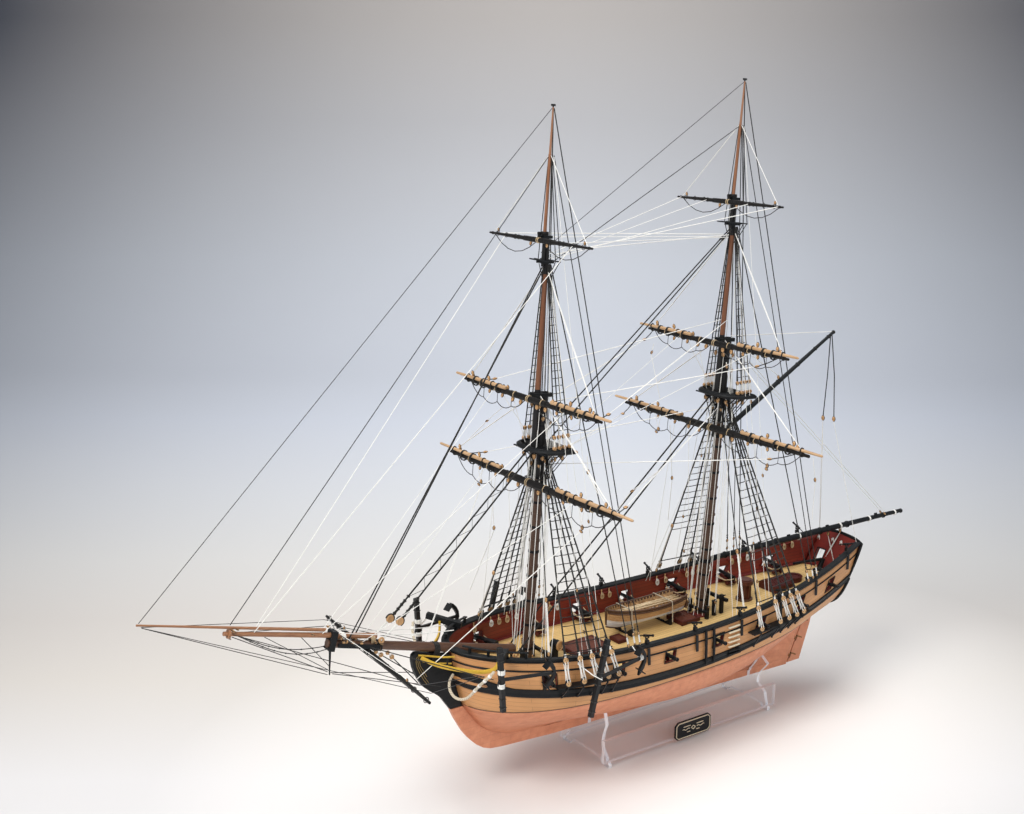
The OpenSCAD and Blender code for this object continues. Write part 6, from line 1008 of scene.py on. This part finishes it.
# ------------------------------------------------------------------ thick rims, battens, knees, hanging blocks and falls round the tops
g = G(); tb = G(); tf = G(); rng5 = np.random.RandomState(11)
for m in (0, 1):
    R_ = RM(m); o = M(m, TOP[m]); out = np.array([(-6, -22), (1, -22), (8, -22), (13.4, -20), (17, -17), (19.6, -13), (21, -9), (22, 0), (21, 9), (19.6, 13), (17, 17), (13.4, 20), (8, 22), (1, 22), (-6, 22), (-6.4, 11), (-6.4, 0), (-6.4, -11), (-6, -22)], float)
    g.tube([o + R_ @ V((x - 9) * 1.02 + .2, y * 1.035, .9) for x, y in out], 1.55, 10, caps=False)
    g.tube([o + R_ @ V((x - 9) * .97, y * .97, 2.6) for x, y in out], .55, 6, caps=False)
    for k in range(9):   # battens on the platform
        y = -18 + k * 4.5; w = 21.6 * math.sqrt(max(0.05, 1 - (y / 23.0) ** 4)) - 9; g.box(o + R_ @ V((w - 14.4) / 2 + (3.4 if abs(y) < 7 else 0), y, 1.75), (max(4, w + 13.4 - (7 if abs(y) < 7 else 0)), .8, .7), R_, .1)
    for s in (-1, 1):   # knees below the rim and blocks hung under it
        for x, y in ((9.6, 12), (3, 17.5), (-8, 17.5)):
            a = o + R_ @ V(x - 1, s * y, -1); g.tube([a, a * .55 + (o + R_ @ V(-1, s * 4.4, -11)) * .45, o + R_ @ V(-1, s * 4.2, -13)], .5, 6)
        for k, (x, y, z) in enumerate(((10.5, 6.5, -4), (7, 12, -4.4), (-1, 17, -4.6), (-9, 15, -4.2), (-12.4, 8, -4.4), (4.5, 4.8, -12), (-4.6, 5.2, -13), (3.4, 5.0, 24), (-4.2, 4.2, 20), (7.6, 4.4, 34), (-3.8, 4.0, 33))):
            c = o + R_ @ V(x, s * y, z); block(tb, c, R_ @ V(.15 * rng5.randn(), .15 * rng5.randn(), 1), 3.9 - .5 * (k % 3), side=R_ @ V(1, .3, 0)); tf.line(c + R_ @ V(0, 0, 1.6), c + R_ @ V(0, -s * .4, 3.4), .4, n=5)
    for s in (-1, 1):   # falls gathered below the cap
        for k in range(4):
            x = -3.4 + 2.2 * k; a = o + R_ @ V(x * .6 - 1, s * (3.6 + .3 * k), 32 - 4 * k); b = o + R_ @ V(x - 3, s * (8.5 + 2.2 * k), -12 - 3 * k); tf.line(a, b, .22, n=4)
g.make("top_rims", M_INK, slot="black_wood"); tb.make("top_blocks", BM, slot="boxwood"); tf.make("top_falls", M_ROPEL, slot="rope")
# blocks stood on the yards and lashings round the booms
for m, nm in ((0, "fore"), (1, "main")):
    for yd in ("course", "topsail"):
        P, L, r = YP[nm + "_" + yd]; b = G(); w = G()
        for s in (-1, 1):
            for q in (.3, .43): block(b, P(1.2, s * L * q, r + 4.4), RM(m) @ V(.1, .3 * s, 1), 3.2)
            for q in (.22, .34, .4):
                for j in range(3): w.tube([P(math.cos(t) * (r + 1.0) + .6, s * (L * q + j * .62), math.sin(t) * (r + 1.6) + 1.0) for t in np.linspace(0, 2 * math.pi, 13)], .3, 5, caps=False)
        b.make(nm + "_" + yd + "_standing_blocks", BM, body=nm + "_" + yd, slot="boxwood"); w.make(nm + "_" + yd + "_boom_lashings", M_ROPED, body=nm + "_" + yd, slot="rope")

# ------------------------------------------------------------------ finishes of the carried-over CAD nodes
def twotone(name, below, above, z):
    """copper below the waterline and paint above it, on one CAD piece"""
    a = NT(name); p = a.obj(); s = a.n("SeparateXYZ", {0: p})
    f = a.math("GREATER_THAN", a.math("ADD", s.outputs[2], a.math("MULTIPLY", s.outputs[0], 0.0)), z * 0.001)
    n = a.noise(p, 140.0, 6.0); n2 = a.noise(a.mapped(p, (260, 260, 12)), 5.0, 6.0)
    v = a.mapped(p, (1000, 1000, 1000), (math.pi / 2, 0, 0))
    br = a.n("TexBrick", {"Vector": v, "Color1": (0.2, 0.2, 0.2, 1), "Color2": (0.9, 0.9, 0.9, 1), "Mortar": (0, 0, 0, 1), "Scale": 1.0, "Mortar Size": 0.1, "Mortar Smooth": 0.4, "Brick Width": 9.0, "Row Height": 5.6})
    lo = a.ramp(n, [(0.25, tuple(q * 0.84 for q in below)), (0.8, tuple(min(1, q * 1.1) for q in below))]); lo = a.mix(a.math("MULTIPLY", br.outputs["Fac"], 0.3), lo, tuple(q * 0.5 for q in below))
    hi = a.ramp(n2, [(0.25, tuple(q * 0.6 for q in above)), (0.8, tuple(min(1, q * 1.5) for q in above))])
    return a.set(color=a.mix(f, lo, hi), rough=a.ramp(n, [(0.2, (0.4,) * 3), (0.8, (0.58,) * 3)]), metal=a.math("MULTIPLY", a.math("SUBTRACT", 1.0, f), 0.22), normal=a.bump(a.math("SUBTRACT", n2, br.outputs["Fac"]), 0.3, 0.00014))
M_RUDDER = twotone("rudder_finish", (0.66, 0.27, 0.145), (0.016, 0.014, 0.013), 78.0)

FINISH = {
    "stand_cradles": M_ACRX, "stand_side_plates": M_ACRY, "nameplate": M_INK, "keel": M_COPPER_O, "stem_knee": M_INK, "stern_board": M_RED,
    "head_rails": M_OCHRE, "catheads": M_INK, "channels": M_INK, "chain_plates": M_IRON, "deadeyes": M_BLOCK, "gudgeons": M_BRASS, "rudder_blade": M_RUDDER, "pintles": M_BRASS,
    "tiller": M_INK, "fore_lower_mast": M_WALNUT, "main_lower_mast": M_WALNUT, "fore_top": M_INK, "main_top": M_INK, "fore_topmast": M_MAHOG, "main_topmast": M_MAHOG,
    "fore_crosstrees": M_INK, "main_crosstrees": M_INK, "fore_topgallant_mast": M_MAHOG, "main_topgallant_mast": M_MAHOG, "bowsprit": M_WALX, "bowsprit_cap": M_INK, "jib_boom": M_MAHOGX,
    "spritsail_yard": M_INKY, "gaff_spar": M_INK, "boom_spar": M_INK, "boat_fittings": M_BOX, "boat_chocks": M_INK, "hatches": M_REDD, "capstan_drum": M_CAPST, "capstan_base": M_WALX,
    "skylight": M_REDD, "galley_funnel": M_INKZ, "bitts_and_pumps": M_INKZ, "side_ladder": M_CREAM, "gun_carriages": M_REDD, "gun_barrels": M_IRON, "swivel_guns": M_IRON, "anchors": M_IRON,
    "fore_course_yard": M_INKY, "fore_topsail_yard": M_INKY, "fore_topgallant_yard": M_INKY, "main_course_yard": M_INKY, "main_topsail_yard": M_INKY, "main_topgallant_yard": M_INKY,
}
FINISH.update(MASTM)
for n, o in frame["nodes"].items():
    m = FINISH.get(n, M_INK)
    if not o.material_slots: o.data.materials.append(m)
    for s in o.material_slots: s.material = m

# ------------------------------------------------------------------ stage, light, camera
az, el, rl = math.radians(144.76), math.radians(13.42), math.radians(0.5)
back = V(math.sin(az) * math.cos(el), -math.cos(az) * math.cos(el), math.sin(el)); fwd = -back
right = unit(np.cross(fwd, V(0, 0, 1))); up = np.cross(right, fwd)
r2 = right * math.cos(rl) + up * math.sin(rl); u2 = -right * math.sin(rl) + up * math.cos(rl)
C = V(725.77, 785.20, 530.84)
cam = bpy.data.cameras.new("camera"); cam.sensor_fit = "HORIZONTAL"; cam.sensor_width = 36.0; cam.lens = 47.30; cam.clip_start = 0.05; cam.clip_end = 30
co = bpy.data.objects.new("camera", cam); sc.collection.objects.link(co)
co.matrix_world = Matrix([[r2[0], u2[0], back[0], C[0] * .001], [r2[1], u2[1], back[1], C[1] * .001], [r2[2], u2[2], back[2], C[2] * .001], [0, 0, 0, 1]])
sc.camera = co
# FLOOR_EDGE_SHADE: per screen row, how strongly the floor is darkened towards the left and right frame edges, painted
# shade
FLOOR_EDGE_SHADE = [(0.02, 0.86), (0.147, 0.66), (0.32, 0.49), (0.516, 0.38), (0.688, 0.28), (0.835, 0.2), (0.958, 0.1)]
# FLOOR_TINT_AND_PAINTED_LIGHT: floor colour per screen row, the backdrop's blue and cream tint with painted light,
# darker towards the top of the frame and lighter towards the bottom
FLOOR_TINT_AND_PAINTED_LIGHT = [(0.018, (0.435, 0.40, 0.37)), (0.147, (0.44, 0.43, 0.43)), (0.32, (0.525, 0.54, 0.57)), (0.516, (0.61, 0.635, 0.69)), (0.614, (0.63, 0.635, 0.645)), (0.688, (0.645, 0.63, 0.605)), (0.76, (0.63, 0.59, 0.548)), (0.835, (0.665, 0.622, 0.568)), (0.958, (0.686, 0.666, 0.655))]
def cyc():
    """pale sweep: floor that turns up into a wall far behind the model; its colour carries painted shade towards the
    frame edges and painted light round the model
    """
    az = math.radians(144.76); d = V(-math.sin(az), math.cos(az)); r = V(-math.sin(az + math.pi / 2), math.cos(az + math.pi / 2))
    prof = [(-3200, 0), (-1600, 0), (-400, 0), (600, 0), (1100, 0), (1400, 0)] + [(1400 + 900 * math.sin(t), 900 * (1 - math.cos(t))) for t in np.linspace(0.12, math.pi / 2, 12)] + [(2300, 1600), (2300, 3600)]
    rows = [[V(d[0] * a + r[0] * w, d[1] * a + r[1] * w, b - 0.05) for w in np.linspace(-4200, 4200, 9)] for a, b in prof]
    g = G(); g.grid(rows); me = bpy.data.meshes.new("sweep"); me.from_pydata([(a * .001, b * .001, c * .001) for a, b, c in g.v], [], g.f)
    a = NT("sweep_paper_painted_light"); p = a.obj(); s = a.n("SeparateXYZ", {0: p}); n = a.noise(p, 2.0, 4.0)
    dc = a.n("VectorMath", {0: p, 1: tuple(float(q) * .001 for q in C)}, operation="SUBTRACT").outputs["Vector"]
    dot = lambda w: a.n("VectorMath", {0: dc, 1: tuple(float(q) for q in w)}, operation="DOT_PRODUCT").outputs["Value"]
    dep = a.math("MAXIMUM", dot(fwd), 0.05); sx = a.math("MULTIPLY", a.math("DIVIDE", dot(r2), dep), 1345.4); sy = a.math("MULTIPLY", a.math("DIVIDE", dot(u2), dep), 1345.4)
    vv = a.math("MINIMUM", a.math("MAXIMUM", a.math("SUBTRACT", 0.5, a.math("DIVIDE", sy, 814.0)), 0.0), 1.0)
    w = a.math("MINIMUM", a.math("POWER", a.math("DIVIDE", a.math("ABSOLUTE", a.math("SUBTRACT", sx, 28.0)), 525.0), 1.6), 1.15)
    k = a.ramp(vv, [(q, (e, e, e)) for q, e in FLOOR_EDGE_SHADE]); col = a.ramp(vv, FLOOR_TINT_AND_PAINTED_LIGHT)
    # painted shade: k and w darken the floor towards a deep blue-grey at the frame edges
    col = a.mix(a.math("MULTIPLY", k, w), col, (0.004, 0.012, 0.03))
    # painted light: the floor is lifted towards a pale warm colour round the model, brightening the shadow that the
    # model and stand cast there
    rr = a.n("VectorMath", {0: a.n("VectorMath", {0: p, 1: (2.2, 3.0, 0.0)}, operation="MULTIPLY").outputs["Vector"]}, operation="LENGTH").outputs["Value"]
    painted_light_near_model = a.ramp(rr, [(0.15, (1.0,) * 3), (0.5, (0.7,) * 3), (1.0, (0.0,) * 3)])
    col = a.mix(a.math("MULTIPLY", painted_light_near_model, 0.75), col, (0.96, 0.925, 0.885))
    col = a.mix(0.03, col, a.ramp(n, [(0.3, (0.6, 0.6, 0.62)), (0.7, (0.8, 0.8, 0.8))]))
    me.materials.append(a.set(color=col, rough=0.85, spec=0.2)); me.polygons.foreach_set("use_smooth", [True] * len(g.f))
    o = bpy.data.objects.new("sweep", me); sc.collection.objects.link(o)
cyc()
def area(name, pos, tgt, size, power, color=(1, 1, 1), size_y=None):
    l = bpy.data.lights.new(name, "AREA"); l.energy = power; l.color = color; l.shape = "RECTANGLE" if size_y else "SQUARE"; l.size = size
    if size_y: l.size_y = size_y
    o = bpy.data.objects.new(name, l); sc.collection.objects.link(o); p = Vector(pos); o.location = p
    o.rotation_euler = (Vector(tgt) - p).to_track_quat("-Z", "Y").to_euler(); return o
T = V(0.05, 0, 0.2)
def at(rt, bk, z): return tuple(T + (right * rt + V(back[0], back[1], 0) / math.hypot(back[0], back[1]) * bk) + V(0, 0, z))
area("key", at(-1.1, 1.25, 1.65), tuple(T), 0.9, 44, (1.0, 0.975, 0.94))
area("fill", at(1.6, 1.5, 0.7), tuple(T), 1.4, 9, (0.93, 0.96, 1.0))
area("top", at(0.0, -0.2, 2.2), tuple(T), 1.8, 20, (1.0, 0.99, 0.98))
area("wash", at(0.3, -0.9, 2.2), at(0.3, -2.3, 0.5), 1.6, 26, (0.93, 0.96, 1.0))
w = bpy.data.worlds.new("studio"); sc.world = w; w.use_nodes = True
bg = w.node_tree.nodes["Background"]; bg.inputs[0].default_value = (0.84, 0.90, 1.0, 1); bg.inputs[1].default_value = 0.46
sc.view_settings.view_transform = "Standard"; sc.view_settings.look = "None"; sc.view_settings.exposure = 0.0
